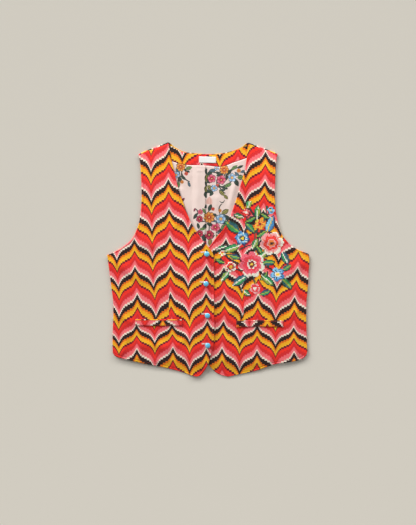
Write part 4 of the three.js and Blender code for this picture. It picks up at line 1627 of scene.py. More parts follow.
@dataclass
class Lining:
    """The back's lining with its folded ease pleat and a few soft folds."""

    armhole_inset: float = 1.5
    side_inset: float = 5.0
    underarm_inset: float = 3.0
    hem_inset: float = 8.0
    corners: Rows = ((-160, 244), (159.5, 245))
    facing_ends: Rows = ((-99, 268), (99, 268))
    breaks: tuple[float, ...] = (0.2, 0.25, 0.75, 0.8, 1)
    pleat: tuple[float, float] = (0.37, 0.545)
    creases: tuple[Crease, ...] = (
        Crease(-68, 172, -32, 70, 2.5, 7), Crease(66, 196, 46, 104, 1.8, 6),
        Crease(46, 220, 30, 120, 1.2, 9), Crease(74, 214, 60, 150, 1.0, 5),
        Crease(20, 152, 12, 60, 1.3, 6), Crease(-26, 206, -22, 130, 0.7, 6),
        Crease(-48, 214, -8, 212, 0.9, 3), Crease(-34, 60, -12, 30, 0.9, 6),
        Crease(8, 150, 2, 128, 1.2, 4), Crease(-44, 206, -38, 160, 0.9, 5),
        Crease(-120, 60, -96, -80, 0.6, 12), Crease(110, 40, 96, -120, 0.6, 12),
    )

    def side(self, edges: dict[str, Rows], corner: tuple[float, float], inward: float) -> Line:
        """Return a side edge, a little inside the armhole and further inside the side seam.

        Args:
            edges: The front's edges on that side.
            corner: The lining's upper corner.
            inward: 1 on the right side, -1 on the left one.

        Returns:
            The edge.
        """
        upper = shifted(edges["armhole"][:-1], self.armhole_inset * inward, -self.armhole_inset)
        lower = shifted(edges["side"][:-1], self.side_inset * inward, -self.underarm_inset)
        return side_edge([corner, *upper, lower[0]], lower)

    def top(self) -> Line:
        """Return the upper edge: shoulders, the facing's ends, and the facing's lower edge.

        Returns:
            The edge.
        """
        seam = shifted(FACING_LOWER, 0, -2 * GAP)
        (right_x, _), (left_x, _) = self.facing_ends
        seam[0], seam[-1] = (right_x, seam[0][1]), (left_x, seam[-1][1])
        stretches = (
            (self.corners[0], self.facing_ends[0]), (self.facing_ends[0], seam[0]), seam,
            (seam[-1], self.facing_ends[1]), (self.facing_ends[1], self.corners[1]),
        )
        return chain([SmoothLine(rows) for rows in stretches], self.breaks)

    @staticmethod
    def section() -> list[tuple[float, float]]:
        """Return the pleat's folded section: distances from its edge, and heights over the flat lining.

        Returns:
            The section's points from right to left, through the fold.
        """
        bend = PLEAT_LEVEL / 2
        back = -PLEAT_DEPTH

        def turn(centre: float, height: float, way: int) -> list[tuple[float, float]]:
            """Return the points of a half turn, from its upper end down."""
            angles = [k * math.pi / 6 for k in range(1, 6)]
            return [(centre + way * bend * math.sin(a), height + bend * math.cos(a)) for a in angles]

        ramp = [(back - PLEAT_RAMP * (1 - s), PLEAT_RISE * smoothstep(s, 0, 1)) for s in spread(0, 0.85, 6)]
        return [
            *ramp, *((x, PLEAT_RISE) for x in spread(back, -bend, 7)),
            *turn(-bend, PLEAT_RISE - bend, 1), (-bend, PLEAT_LEVEL), (back / 2, PLEAT_LEVEL),
            (back + bend, PLEAT_LEVEL), *turn(back + bend, bend, -1), (back + bend, 0), (back / 2, 0), (4, 0),
        ]

    def build(self, finish: Material) -> Piece:
        """Build the lining's cloth from the flowered cotton and return it.

        Args:
            finish: The cloth's material.

        Returns:
            The lining, as a laid sheet.
        """
        left, right = self.side(RIGHT_EDGES, self.corners[0], 1), self.side(LEFT_EDGES, self.corners[1], -1)
        hem = shifted(BACK_HEM[1:-1], 0, self.hem_inset)
        panel = Panel(left, right, self.top(), SmoothLine([tuple(left(1)), *hem, tuple(right(1))]))
        section = self.section()
        right_end, right_seam, left_seam, left_end, last = self.breaks
        beside = joined((0, right_end, 14), (right_end, right_seam, 6), (right_seam, self.pleat[0], 18))
        past = joined((self.pleat[1], left_seam, 36), (left_seam, left_end, 6), (left_end, last, 14))
        starts = [self.fold(panel, section, 0.0)[k] for k in (0, -1)]
        grid = []
        for v in spread(0, 1, 210):
            start, *_, end = folded = self.fold(panel, section, v)
            row = [self.point(panel, u / starts[0] * start, v, 0.0) for u in beside]
            row += [self.point(panel, u, v, rise) for u, (_, rise) in zip(folded, section)]
            row += [self.point(panel, lerp(end, 1, (u - starts[1]) / (1 - starts[1])), v, 0.0) for u in past]
            grid.append(row)
        bm = laid_cloth(len(grid[0]), len(grid), lambda i, j: grid[i][j])
        map_sprays(bm)
        shell = LINING_WALL * 0.8
        return laid_piece(bm, "lining_cloth", finish, "back_lining", shell, ["back_cloth"])

    @staticmethod
    def fold(panel: Panel, section: Sequence[tuple[float, float]], v: float) -> list[float]:
        """Return the u of each point of the pleat's section in row v."""
        edge = lerp(PLEAT_EDGE_TOP, PLEAT_EDGE_HEM, v)
        return [panel.column(v, edge + x) for x, _ in section]

    def point(self, panel: Panel, u: float, v: float, rise: float) -> Vector:
        """Return the lining's upper point at u and v, raised by the pleat's section.

        Args:
            panel: The lining's plan.
            u: The share from left to right.
            v: The row.
            rise: The section's height over the flat lining.

        Returns:
            The point.
        """
        plan = panel.at(u, v)
        soft = sum(crease.height(plan.x, plan.y) for crease in self.creases)
        soft += 0.25 * uneven(plan.x, plan.y, 30, 5.5)
        flat = 1.0 if 0 < rise < PLEAT_RISE else max(0.0, soft) + 1.0
        return Vector((plan.x, plan.y, INNER_FLOOR + LINING_WALL + rise + flat - 1.0))


# Width of a welt's folded upper edge
LIP_WIDTH = 2.2


@dataclass
class Strip:
    """A flat strip of cloth, such as a welt or the label, laid on what carries it."""

    name: str
    node: str
    x: float
    y: float
    length: float
    height: float
    wall: float
    floor: Floor
    tilt: float = 0.0
    bow: float = 0.0
    lip: float = 0.0

    def at(self, along: float, across: float) -> Vector:
        """Return the plan point at shares from -0.5 to 0.5 along and across.

        Args:
            along: The share of the length.
            across: The share of the height.

        Returns:
            The point.
        """
        x = self.x + along * self.length
        y = self.y + across * self.height + along * self.length * self.tilt
        return Vector((x, y + self.bow * (1 - 4 * along * along)))

    def top(self, x: float, y: float) -> float:
        """Return the height of the strip's flat face over a point."""
        return self.floor(x, y) + GAP + self.wall

    def build(self, finish: Material, slot: str, layout: PrintLayout | None) -> Piece:
        """Build the strip.

        Args:
            finish: Its material.
            slot: Not used.
            layout: Where the print lies on it, if it is printed.

        Returns:
            The strip, as a laid sheet.
        """
        columns = [u - 0.5 for u in graded(self.length, 2.4, True, True)]
        steps = [d for d in EDGE_STEPS if d < self.height / 2]
        rows = [0.5 - d / self.height for d in steps] + [d / self.height - 0.5 for d in reversed(steps)]

        def place(i: int, j: int) -> Vector:
            """Return a point with the strip's soft rolled edge.

            Args:
                i: The row.
                j: The column.

            Returns:
                The point.
            """
            plan = self.at(columns[j], rows[i])
            edge = min((0.5 - abs(columns[j])) * self.length, (0.5 - abs(rows[i])) * self.height)
            drop = self.wall * 0.55 * (1 - round_over(edge, 1.3))
            puff = 0.15 * uneven(plan.x, plan.y, 12, 2.2)
            return Vector((plan.x, plan.y, self.top(plan.x, plan.y) - drop + puff))

        bm = laid_cloth(len(columns), len(rows), place)
        if layout:
            map_print(bm, layout)
            self.shift_lip(bm)
        return laid_piece(bm, self.name, finish, self.node, self.wall * 0.4, [])

    def shift_lip(self, bm: Skin) -> None:
        """Show another part of the print along the folded upper edge.

        Args:
            bm: The strip, in millimetres.
        """
        layer = bm.loops.layers.uv["print"]
        for face in bm.faces:
            x, y, _ = face.calc_center_median()
            if y > self.at((x - self.x) / self.length, 0.5).y - LIP_WIDTH:
                for loop in face.loops:
                    loop[layer].uv.y += self.lip


WELTS = (
    Strip(
        "welt_right_cloth", "welt_right", -118.4, -151.2, 112.8, 15.2, WELT_WALL, RIGHT_FRONT.height,
        tilt=-0.004, lip=0.5,
    ),
    Strip(
        "welt_left_cloth", "welt_left", 123.2, -154.8, 112.4, 15.4, WELT_WALL, LEFT_FRONT.height,
        tilt=0.006, bow=1.6, lip=0.08,
    ),
)
LABEL = Strip(
    "neck_label_tape", "neck_label", -2, 239, 41, 15, LABEL_WALL, lambda x, y: FACING_TOP, tilt=-0.028
)


@dataclass
class NeckFacing:
    """The band of printed twill inside the back neck."""

    panel: Panel = field(init=False)

    def __post_init__(self) -> None:
        """Lay out the plan."""
        self.panel = Panel(
            SmoothLine([FACING_UPPER[0], FACING_LOWER[0]]), SmoothLine([FACING_UPPER[-1], FACING_LOWER[-1]]),
            SmoothLine(FACING_UPPER), SmoothLine(FACING_LOWER),
        )

    def build(self, finish: Material) -> Piece:
        """Build the facing's cloth from the printed twill and return it.

        Args:
            finish: The cloth's material.

        Returns:
            The facing, as a laid sheet.
        """
        columns, rows = spread(0, 1, 90), graded(32, 2.4, True, True)

        def place(i: int, j: int) -> Vector:
            """Return a point with the turned lower and upper edges.

            Args:
                i: The row.
                j: The column.

            Returns:
                The point.
            """
            plan = self.panel.at(columns[j], rows[i])
            edge = min((plan - self.panel.at(columns[j], end)).length for end in (0, 1))
            drop = 0.5 * (1 - round_over(edge, 1.2))
            return Vector((plan.x, plan.y, FACING_TOP - drop + 0.12 * uneven(plan.x, plan.y, 14, 1.7)))

        bm = laid_cloth(len(columns), len(rows), place)
        map_print(bm, LAYOUTS["facing"])
        name, node, shell = "neck_facing_cloth", "back_neck_facing", FACING_WALL * 0.5
        return laid_piece(bm, name, finish, node, shell, ["back_cloth"])


class Sewing:
    """Joins many small stitches in one mesh."""

    def __init__(self, name: str) -> None:
        """Start an empty mesh.

        Args:
            name: The piece's name, which seeds its random draws.
        """
        self.name = name
        self.bm = bmesh.new()
        self.layer = self.bm.verts.layers.float_color.new("thread")
        self.placed: list[tuple[int, Matrix, Colour]] = []
        self.random = random.Random(name)

    @staticmethod
    def pattern(length: float, width: float, height: float, sides: int = 6, rings: int = 4) -> bpy.types.Mesh:
        """Return the mesh of one stitch that lies along X, in millimetres.

        Args:
            length: The stitch's length.
            width: Its width.
            height: Its height.
            sides: How many sides it has.
            rings: How many rings of faces.

        Returns:
            The mesh.
        """
        bm = bmesh.new()
        bmesh.ops.create_uvsphere(bm, u_segments=sides, v_segments=rings, radius=0.5)
        bmesh.ops.rotate(bm, verts=bm.verts, cent=(0, 0, 0), matrix=Matrix.Rotation(math.pi / 2, 3, "Y"))
        bmesh.ops.scale(bm, verts=bm.verts, vec=(length, width, height))
        return mesh_of(bm, "stitch")

    def place(self, pattern: bpy.types.Mesh, at: Vector, angle: float, colour: Colour = (1, 1, 1, 1)) -> None:
        """Add one stitch of a colour at a point, turned about +Z.

        Args:
            pattern: The stitch's mesh.
            at: The point.
            angle: The turn.
            colour: The thread's colour.
        """
        self.bm.from_mesh(pattern)
        put = Matrix.Translation(at) @ Matrix.Rotation(angle, 4, "Z")
        self.placed.append((len(pattern.vertices), put, colour))

    def run(self, line: Line, length: float, floor: Floor, pitch: float = 3.0) -> None:
        """Sew along a plan line.

        Args:
            line: The line, read by its share.
            length: Its length.
            floor: The height of the cloth.
            pitch: The length of a stitch with its gap.
        """
        pattern = self.pattern(pitch * 0.82, 0.62, 0.5)
        count = max(1, round(length / pitch))
        for k in range(count):
            start, end = line(k / count), line((k + 1) / count)
            middle, way = (start + end) / 2, end - start
            angle = math.atan2(way.y, way.x) + self.random.uniform(-0.05, 0.05)
            self.place(pattern, Vector((middle.x, middle.y, floor(middle.x, middle.y))), angle)

    def finish(self, material: Material) -> Piece:
        """Move each stitch to its place and turn them into one piece.

        Args:
            material: The thread.

        Returns:
            The stitching.
        """
        vertices = iter(self.bm.verts)
        for count, matrix, colour in self.placed:
            for vertex in itertools.islice(vertices, count):
                vertex.co = matrix @ vertex.co
                vertex[self.layer] = colour
        return finished(self.bm, self.name, material)


def inset_line(line: Line, inward: float) -> Line:
    """Return a line at a distance to the left of another one's way.

    Args:
        line: The other line.
        inward: The distance.

    Returns:
        The line.
    """

    def point(share: float) -> Vector:
        """Return the inset point."""
        way = (line(min(share + 0.004, 1)) - line(max(share - 0.004, 0))).normalized()
        return line(share) + Vector((-way.y, way.x)) * inward

    return point


def trimmed(line: Line, start: float, end: float) -> Line:
    """Return the stretch of a line between two shares."""
    return lambda share: line(lerp(start, end, share))


@dataclass
class EdgeStitching:
    """The rows of stitches along the turned edges, the welts, the facing, the label and the pleat."""

    def front(self, front: Front, material: Material) -> None:
        """Sew along a front's neck, front edge, hem and armhole.

        Args:
            front: The front.
            material: The thread.
        """
        sewing = Sewing(f"front_{front.side}_stitching")
        inward = EDGE_STITCH if front.side == "right" else -EDGE_STITCH
        floor = self.sunk(front.height)
        visible = {"neck": (0.03, 0.99), "front": (0.0, 0.97), "hem": (0.05, 0.97), "armhole": (0.02, 0.97)}
        if front.side == "left":
            visible |= {"neck": (0.02, 0.86), "front": (0.86, 0.98)}
        for edge, (start, end) in visible.items():
            line = SmoothLine(front.edges[edge])
            way = {"neck": -1, "front": -1, "hem": 1, "armhole": 1}[edge]
            inner = trimmed(inset_line(line, inward * way), start, end)
            sewing.run(inner, line.length * (end - start), floor)
        sewing.finish(material)

    def strips(self, material: Material, pale: Material) -> None:
        """Sew the welts, the facing's edge, the label's ends and the top of the pleat.

        Args:
            material: The thread of the welts and the facing.
            pale: The thread of the label and the pleat.
        """
        sewing = Sewing("welt_stitching")
        for strip in WELTS:
            for across in (0.5 - LIP_WIDTH / strip.height, LIP_WIDTH / strip.height - 0.5):
                line = self.straight(strip.at(-0.485, across), strip.at(0.485, across))
                if strip.bow:
                    line = SmoothLine([tuple(strip.at(s, across)) for s in spread(-0.485, 0.485, 6)])
                sewing.run(line, strip.length * 0.97, lambda x, y, s=strip: s.top(x, y) + 0.05, 2.6)
            for along in (-0.485, 0.485):
                line = self.straight(strip.at(along, -0.42), strip.at(along, 0.42))
                sewing.run(line, strip.height * 0.84, lambda x, y, s=strip: s.top(x, y) + 0.05, 1.6)
        facing = SmoothLine(shifted(FACING_LOWER, 0, 2.0))
        sewing.run(trimmed(facing, 0.06, 0.94), facing.length * 0.88, lambda x, y: FACING_TOP + 0.06)
        sewing.finish(material)
        pale_rows = Sewing("label_and_pleat_stitching")
        for along in (-0.465, 0.465):
            line = self.straight(LABEL.at(along, -0.45), LABEL.at(along, 0.45))
            pale_rows.run(line, LABEL.height * 0.9, lambda x, y: LABEL.top(x, y) + 0.04, 1.7)
        level = INNER_FLOOR + LINING_WALL + PLEAT_RISE
        pleat = self.straight(Vector((-26, 213)), Vector((PLEAT_EDGE_TOP - 1.5, 213)))
        pale_rows.run(pleat, 18, lambda x, y: level + 0.4, 2.2)
        pale_rows.finish(pale)

    @staticmethod
    def sunk(height: Floor) -> Floor:
        """Return the cloth's height at the stitched groove."""
        return lambda x, y: height(x, y) + edge_roll(EDGE_STITCH) + 0.1

    @staticmethod
    def straight(start: Vector, end: Vector) -> Line:
        """Return a straight plan line."""
        return lambda share: start.lerp(end, share)


@dataclass
class Buttonholes:
    """The worked buttonholes, which run from each button away from the front edge."""

    length: float = 15.0
    above: float = 4.4
    reach: float = 13.5

    def build(self, material: Material) -> Piece:
        """Work each buttonhole in pale thread.

        Args:
            material: The thread.

        Returns:
            The buttonholes' stitching.
        """
        sewing = Sewing("buttonhole_stitching")
        stitch = sewing.pattern(1.7, 0.62, 0.7)
        for k in range(1, 5):
            low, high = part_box(f"button_{k}")
            x, y = (low[0] + high[0]) / 2 / MM, (low[1] + high[1]) / 2 / MM + self.above
            start = x - self.reach
            for along in spread(0, self.length, 30):
                px = start + along
                for row in (-0.95, 0.95):
                    top = RIGHT_FRONT.height(px, y + row) + 0.12
                    angle = math.pi / 2 + sewing.random.uniform(-0.12, 0.12)
                    sewing.place(stitch, Vector((px, y + row, top)), angle)
            for end in (start - 0.4, start + self.length + 0.4):
                for row in spread(-1.5, 1.5, 5):
                    top = RIGHT_FRONT.height(end, y + row) + 0.16
                    sewing.place(stitch, Vector((end, y + row, top)), sewing.random.uniform(-0.1, 0.1))
        return sewing.finish(material)


@dataclass
class Button:
    """A domed resin button that stands on the right front."""

    number: int
    segments: int = 48

    def build(self, finish: Material) -> Piece:
        """Spin the button's section in the place of its node and return it.

        Args:
            finish: The resin.

        Returns:
            The button.
        """
        low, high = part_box(f"button_{self.number}")
        radius, height = (high[0] - low[0]) / 2 / MM, (high[2] - low[2]) / MM
        bm = bmesh.new()
        section = [bm.verts.new((r * radius, 0, z * height)) for r, z in self.section()]
        edges = [bm.edges.new(pair) for pair in zip(section, section[1:])]
        bmesh.ops.spin(
            bm, geom=section + edges, cent=(0, 0, 0), axis=(0, 0, 1), angle=2 * math.pi,
            steps=self.segments, use_merge=True, use_duplicate=False,
        )
        bmesh.ops.remove_doubles(bm, verts=bm.verts, dist=1e-4)
        bmesh.ops.recalc_face_normals(bm, faces=bm.faces)
        centre = Vector(((low[0] + high[0]) / 2, (low[1] + high[1]) / 2, low[2])) / MM
        bmesh.ops.translate(bm, verts=bm.verts, vec=centre)
        piece = finished(bm, f"button_{self.number}_dome", finish)
        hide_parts(f"button_{self.number}")
        return piece

    @staticmethod
    def section() -> list[tuple[float, float]]:
        """Return shares of the radius and the height from the foot's centre over the rim to the top.

        Returns:
            The section's points.
        """
        rim = [(0.93 + 0.07 * math.sin(a), 0.3 - 0.22 * math.cos(a)) for a in spread(0, 0.5 * math.pi, 4)]
        dome = [(0.99 * math.cos(a), 0.36 + 0.64 * math.sin(a)) for a in spread(0.06, 0.47 * math.pi, 11)]
        return [(0, 0.0), (0.62, 0.0), (0.72, 0.03), *rim, *dome, (0, 1.0)]


class Floss(Enum):
    """Colours of the embroidery threads."""

    CREAM = srgb(252, 238, 220)
    BLUSH = srgb(250, 168, 168)
    PINK = srgb(248, 104, 124)
    ROSE = srgb(240, 58, 80)
    RED = srgb(236, 44, 36)
    CORAL = srgb(246, 96, 66)
    MAROON = srgb(124, 26, 34)
    YELLOW = srgb(252, 204, 58)
    ORANGE = srgb(242, 132, 40)
    SKY = srgb(128, 200, 236)
    BLUE = srgb(62, 142, 200)
    NAVY = srgb(24, 44, 88)
    GREEN = srgb(44, 160, 88)
    LIME = srgb(152, 182, 66)
    FOREST = srgb(16, 74, 56)
    TEAL = srgb(20, 104, 116)
    INK = srgb(26, 30, 34)


@dataclass(frozen=True)
class StitchedBloom:
    """A round embroidered blossom: rings of petals, each up to a share of the radius."""

    x: float
    y: float
    radius: float
    petals: int
    turn: float
    rings: tuple[tuple[float, Floss], ...]
    fold: Floss

    def thread(self, x: float, y: float) -> Floss | None:
        """Return the thread at a point, or None outside the blossom.

        Args:
            x: The point's x.
            y: Its y.

        Returns:
            The thread.
        """
        dx, dy = x - self.x, y - self.y
        angle = math.atan2(dy, dx) + self.turn
        lobe = abs(math.cos(angle * self.petals / 2))
        far = math.hypot(dx, dy)
        share = far / (self.radius * (0.78 + 0.22 * lobe))
        if share >= 1:
            return None
        between, pitch = abs(math.sin(angle * self.petals / 2)), far * 2 / self.petals
        shade = min(max(share + 0.15 * (dx - dy) / self.radius * share, 0.0), 0.999)
        if pitch * lobe < 1.1 and share > 0.62:
            return self.fold
        if pitch * between < 1.0 and 0.36 < share < 0.62:
            return self.fold
        return next(floss for limit, floss in self.rings if shade < limit)


class LeafSilk(Enum):
    """The threads of a stitched leaf: its upper half, lower half, vein and edge."""

    FRESH = (Floss.GREEN, Floss.LIME, Floss.CREAM, Floss.FOREST)
    SEA_CREAM = (Floss.TEAL, Floss.GREEN, Floss.CREAM, Floss.NAVY)
    GREEN_TEAL = (Floss.GREEN, Floss.TEAL, Floss.LIME, Floss.FOREST)
    LIME = (Floss.LIME, Floss.GREEN, Floss.CREAM, Floss.FOREST)
    TEAL_GREEN = (Floss.TEAL, Floss.GREEN, Floss.LIME, Floss.FOREST)
    BLUE = (Floss.SKY, Floss.BLUE, Floss.YELLOW, Floss.NAVY)
    SEA = (Floss.TEAL, Floss.GREEN, Floss.LIME, Floss.NAVY)
    DEEP = (Floss.FOREST, Floss.GREEN, Floss.LIME, Floss.INK)
    DEEP_GREEN = (Floss.GREEN, Floss.FOREST, Floss.LIME, Floss.INK)
    DEEP_CREAM = (Floss.GREEN, Floss.FOREST, Floss.CREAM, Floss.INK)


@dataclass(frozen=True)
class StitchedLeaf:
    """A pointed embroidered leaf in two tones with a vein and a dark edge."""

    x: float
    y: float
    length: float
    width: float
    turn: float
    silk: LeafSilk

    def thread(self, x: float, y: float) -> Floss | None:
        """Return the thread at a point, or None outside the leaf.

        Args:
            x: The point's x.
            y: Its y.

        Returns:
            The thread.
        """
        along, aside = turned(x - self.x, y - self.y, self.turn)
        along /= self.length
        half = self.width * (1 - along * along) if abs(along) < 1 else 0
        if abs(aside) >= half:
            return None
        upper, lower, vein, edge = self.silk.value
        if abs(aside) < 1.3 and along < 0.7:
            return vein
        if half - abs(aside) < 2.3 and self.width > 6:
            return edge
        return upper if aside > 0 else lower


class StitchedStem:
    """An embroidered stem along a smooth line."""

    def __init__(self, rows: Rows, floss: Floss, width: float = 3.4) -> None:
        """Sample the stem's line."""
        self.points = SmoothLine(rows).points
        self.floss, self.width = floss, width

    def thread(self, x: float, y: float) -> Floss | None:
        """Return the thread at a point, or None away from the stem."""
        near = min(math.hypot(point.x - x, point.y - y) for point in self.points)
        return self.floss if near < self.width / 2 else None


# Leaves of the embroidery: x, y, half length, half width, turn, threads
STITCHED_LEAVES = (
    (130, 10, 17, 8, 0.7, LeafSilk.FRESH), (184, 4, 18, 9, -1.1, LeafSilk.SEA_CREAM),
    (58, 78, 24, 11, 2.5, LeafSilk.GREEN_TEAL), (56, 26, 22, 10, 3.5, LeafSilk.LIME),
    (100, 76, 17, 8, 2.3, LeafSilk.TEAL_GREEN), (148, 84, 24, 11, 1.2, LeafSilk.BLUE),
    (118, 114, 18, 8, 1.5, LeafSilk.FRESH), (142, -50, 20, 9, -0.7, LeafSilk.FRESH),
    (76, -50, 22, 10, 0.6, LeafSilk.SEA_CREAM), (144, -8, 17, 8, 0.1, LeafSilk.GREEN_TEAL),
    (188, -58, 19, 9, -0.8, LeafSilk.GREEN_TEAL), (40, -40, 17, 8, 0.9, LeafSilk.LIME),
    (188, -20, 14, 7, 0.5, LeafSilk.TEAL_GREEN), (136, -80, 15, 7, 0.3, LeafSilk.SEA),
    (90, -80, 14, 7, -0.6, LeafSilk.FRESH), (112, 38, 15, 8, 1.1, LeafSilk.FRESH),
    (64, 6, 16, 7, -0.3, LeafSilk.SEA), (72, 104, 14, 7, 2.9, LeafSilk.LIME),
    (98, 134, 14, 6, 1.2, LeafSilk.FRESH), (128, 62, 15, 7, 0.6, LeafSilk.DEEP),
    (102, 96, 16, 7, 0.5, LeafSilk.DEEP), (136, 104, 15, 6.5, 2.6, LeafSilk.DEEP_GREEN),
    (122, 22, 15, 7, 2.2, LeafSilk.DEEP), (34, 28, 16, 7, 0.3, LeafSilk.DEEP_CREAM),
    (28, -4, 13, 6.5, 2.7, LeafSilk.DEEP_GREEN), (134, -40, 14, 7, 0.9, LeafSilk.DEEP),
)


@dataclass
class Embroidery:
    """A cross-stitched spray of blooms and leaves on the left front."""

    cell: float = 2.75
    thread_width: float = 2.1
    thread_height: float = 0.45
    low: tuple[float, float] = (18.0, -90.0)
    high: tuple[float, float] = (204.0, 142.0)
    motifs: tuple[object, ...] = (
        StitchedBloom(104, -12, 32, 7, 0.3, (
            (0.12, Floss.YELLOW), (0.26, Floss.MAROON), (0.38, Floss.CREAM), (0.6, Floss.ROSE),
            (0.86, Floss.PINK), (1, Floss.CREAM),
        ), Floss.ROSE),
        StitchedBloom(152, 38, 29, 6, 0.9, (
            (0.14, Floss.INK), (0.27, Floss.ORANGE), (0.4, Floss.BLUSH), (0.62, Floss.RED),
            (0.84, Floss.BLUSH), (1, Floss.CREAM),
        ), Floss.CORAL),
        StitchedBloom(82, 50, 18, 6, 0.2, (
            (0.22, Floss.YELLOW), (0.4, Floss.NAVY), (0.62, Floss.SKY), (0.84, Floss.BLUE), (1, Floss.NAVY),
        ), Floss.CREAM),
        StitchedBloom(124, 84, 14, 5, 0.1, (
            (0.26, Floss.MAROON), (0.46, Floss.ORANGE), (0.84, Floss.YELLOW), (1, Floss.ORANGE),
        ), Floss.RED),
        StitchedBloom(166, -36, 17, 5, 0.5, (
            (0.24, Floss.YELLOW), (0.42, Floss.CREAM), (0.8, Floss.SKY), (1, Floss.BLUE),
        ), Floss.NAVY),
        StitchedBloom(54, -18, 13, 5, 0.7, (
            (0.3, Floss.YELLOW), (0.62, Floss.RED), (1, Floss.CREAM),
        ), Floss.MAROON),
        StitchedBloom(90, 112, 12, 4, 0.4, (
            (0.34, Floss.CREAM), (0.7, Floss.RED), (1, Floss.MAROON),
        ), Floss.BLUSH),
        StitchedBloom(112, -70, 13, 5, 0.2, (
            (0.3, Floss.CREAM), (0.66, Floss.ROSE), (1, Floss.BLUSH),
        ), Floss.RED),
        StitchedBloom(150, 118, 9, 4, 0.2, ((0.36, Floss.YELLOW), (1, Floss.SKY)), Floss.NAVY),
        StitchedBloom(34, 14, 8, 4, 0.2, ((0.4, Floss.YELLOW), (1, Floss.CREAM)), Floss.RED),
        *(StitchedLeaf(*row) for row in STITCHED_LEAVES),
        StitchedStem(((104, -10), (112, 20), (112, 60), (124, 84), (146, 112)), Floss.FOREST),
        StitchedStem(((104, -10), (124, 2), (148, 12), (154, 36)), Floss.INK),
        StitchedStem(((96, 126), (108, 108), (116, 84), (118, 50)), Floss.INK, 4.4),
        StitchedStem(((140, 128), (138, 104), (128, 78), (124, 52)), Floss.FOREST, 4.4),
        StitchedStem(((76, 24), (98, 34), (124, 40)), Floss.INK),
        StitchedStem(((20, 22), (40, 12), (60, 12)), Floss.FOREST),
        StitchedStem(((34, 14), (54, 0), (84, -14), (140, -18), (166, -36)), Floss.INK),
        StitchedStem(((82, 50), (92, 76), (92, 108)), Floss.INK),
        StitchedStem(((104, -30), (110, -50), (112, -70)), Floss.FOREST),
        StitchedStem(((54, -18), (76, -26), (100, -20)), Floss.INK),
    )

    def build(self, finish: Material) -> Piece:
        """Stitch every cell that a motif covers, with two crossed legs in each, and return the piece.

        Args:
            finish: The stranded floss.

        Returns:
            The embroidery.
        """
        sewing = Sewing("chest_embroidery")
        stitch = sewing.pattern(self.cell * 1.45, self.thread_width, self.thread_height, 5, 3)
        columns = int((self.high[0] - self.low[0]) / self.cell)
        rows = int((self.high[1] - self.low[1]) / self.cell)
        for row, column in itertools.product(range(rows), range(columns)):
            x, y = self.low[0] + column * self.cell, self.low[1] + row * self.cell
            floss = next(filter(None, (motif.thread(x, y) for motif in self.motifs)), None)
            if floss:
                tone = sewing.random.uniform(1.06, 1.26)
                colour = (*(min(1.0, value * tone) for value in floss.value[:3]), 1.0)
                for leg, angle in enumerate((math.pi / 4, -math.pi / 4)):
                    at = Vector((x, y, LEFT_FRONT.height(x, y) + 0.1 + 0.16 * leg))
                    sewing.place(stitch, at, angle + sewing.random.uniform(-0.06, 0.06), colour)
        return sewing.finish(finish)


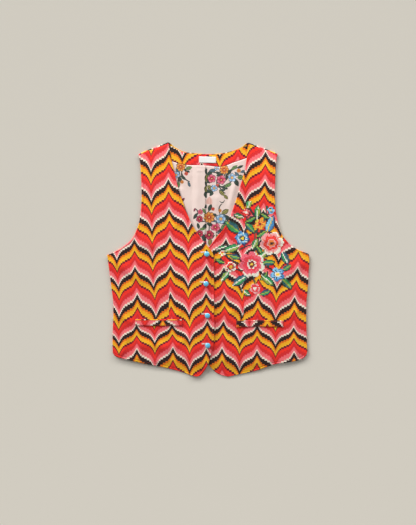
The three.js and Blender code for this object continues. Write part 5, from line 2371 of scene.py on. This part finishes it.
@dataclass(frozen=True)
class Setting:
    """The plain pale floor, the soft studio light and the camera straight above."""

    floor_colour: Colour = srgb(210, 205, 194)
    floor_size: float = 8.0
    frame_width: float = 0.9984
    frame_pixels: tuple[int, int] = (416, 525)
    look_at: tuple[float, float] = (-0.0008, -0.0073)
    distance: float = 3.2
    key_from: tuple[float, float, float] = (-0.62, 0.72, 0.41)
    key_strength: float = 2.2
    key_angle: float = math.radians(28)
    strip_size: tuple[float, float] = (4.0, 0.3)
    strip_place: tuple[float, float, float] = (0.0, 1.35, 0.55)
    strip_power: float = 36.0
    ambient: float = 0.34
    # The light, in watts a square metre, under which the floor shows its own colour, and where along Y
    # its tone makes up for the strip's light
    floor_light: float = 3.12
    floor_span: tuple[float, float] = (-1.2, 1.2)
    floor_steps: int = 24

    def build(self) -> None:
        """Make the floor, lights and camera."""
        self.floor()
        self.key()
        self.strip()
        world = bpy.data.worlds.new("studio")
        bpy.context.scene.world = world
        world.use_nodes = True
        world.node_tree.nodes["Background"].inputs[0].default_value = (1.0, 0.99, 0.97, 1.0)
        world.node_tree.nodes["Background"].inputs[1].default_value = self.ambient
        self.camera()

    def strip_light(self, y: float) -> float:
        """Return the strip's light on the floor at a place along Y, as a line lamp of its length gives it.

        Args:
            y: The place, in metres.

        Returns:
            The light, in watts a square metre.
        """
        _, place, height = self.strip_place
        length = self.strip_size[0]
        half, far = length / 2, math.hypot(place - y, height)
        facing = ((place - y) * place + height * height) / math.hypot(place, height)
        share = half / (far**2 * (far**2 + half**2)) + math.atan(half / far) / far**3
        return self.strip_power / (math.pi * length) * height * facing * share

    def floor_tone(self, y: float) -> float:
        """Return the tone that shows the floor evenly lit at a place along Y."""
        key = self.key_strength * Vector(self.key_from).normalized().z
        return self.floor_light / (key + math.pi * self.ambient + self.strip_light(y))

    def floor(self) -> None:
        """Make the floor, with a faint unevenness of tone."""
        bm = bmesh.new()
        bmesh.ops.create_grid(bm, x_segments=1, y_segments=1, size=self.floor_size / 2)
        mesh = mesh_of(bm, "studio_floor")
        material, graph, shader = new_material("pale_floor")
        place = graph.place()
        low, high = self.floor_span
        share = graph.math("MULTIPLY_ADD", graph.split(place)[1], 1 / (high - low), -low / (high - low))
        stops = []
        for step in spread(0, 1, self.floor_steps):
            tone = self.floor_tone(lerp(low, high, step))
            stops.append((step, (*(value * tone for value in self.floor_colour[:3]), 1.0)))
        soft = graph.math("MULTIPLY_ADD", graph.noise(place, 3.0, 2.0), 0.012, 0.994)
        colour = graph.toned(graph.ramp(share, stops, False), soft)
        graph.feed_all(shader, {"Base Color": colour, "Roughness": 0.95, "Specular IOR Level": 0.1})
        mesh.materials.append(material)
        linked("studio_floor", mesh)

    def key(self) -> None:
        """Make the soft key light, even over the whole floor."""
        data = bpy.data.lights.new("key", "SUN")
        data.energy, data.angle = self.key_strength, self.key_angle
        lamp = linked("key", data)
        lamp.rotation_euler = Vector(self.key_from).to_track_quat("Z", "Y").to_euler()

    def strip(self) -> None:
        """Make the long low strip of light past the garment's head."""
        data = bpy.data.lights.new("strip", "AREA")
        data.shape = "RECTANGLE"
        data.size, data.size_y = self.strip_size
        data.energy = self.strip_power
        lamp = linked("strip", data)
        lamp.location = self.strip_place
        lamp.rotation_euler = Vector(self.strip_place).to_track_quat("Z", "Y").to_euler()

    def camera(self) -> None:
        """Make the camera, framed by the width and height of what it sees at the cloth."""
        width, height = self.frame_pixels
        data = bpy.data.cameras.new("above")
        data.sensor_fit = "VERTICAL"
        data.sensor_height = 24.0
        data.lens = data.sensor_height * self.distance / (self.frame_width * height / width)
        camera = linked("above", data)
        camera.location = (*self.look_at, self.distance)
        bpy.context.scene.camera = camera
        bpy.context.scene.view_settings.view_transform = "Standard"


def main() -> None:
    """Build the garment's pieces in order, from the back up, and the setting."""
    logging.basicConfig(level=logging.INFO, format="%(name)s: %(message)s")
    finishes = Finishes()
    Back().build(finishes.twill)
    Lining().build(finishes.lining)
    NeckFacing().build(finishes.twill)
    LABEL.build(finishes.label, "label_satin", None)
    for front in (LEFT_FRONT, RIGHT_FRONT):
        front.build(finishes.twill)
    for strip, side in zip(WELTS, ("right", "left")):
        strip.build(finishes.twill, "flame_twill", LAYOUTS[f"welt_{side}"])
    stitching = EdgeStitching()
    for front in FRONTS:
        stitching.front(front, finishes.red_thread)
    stitching.strips(finishes.red_thread, finishes.pale_thread)
    Embroidery().build(finishes.floss)
    Buttonholes().build(finishes.pale_thread)
    for number in range(1, 5):
        Button(number).build(finishes.resin)
    Setting().build()


if __name__ == "__main__":
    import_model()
    main()
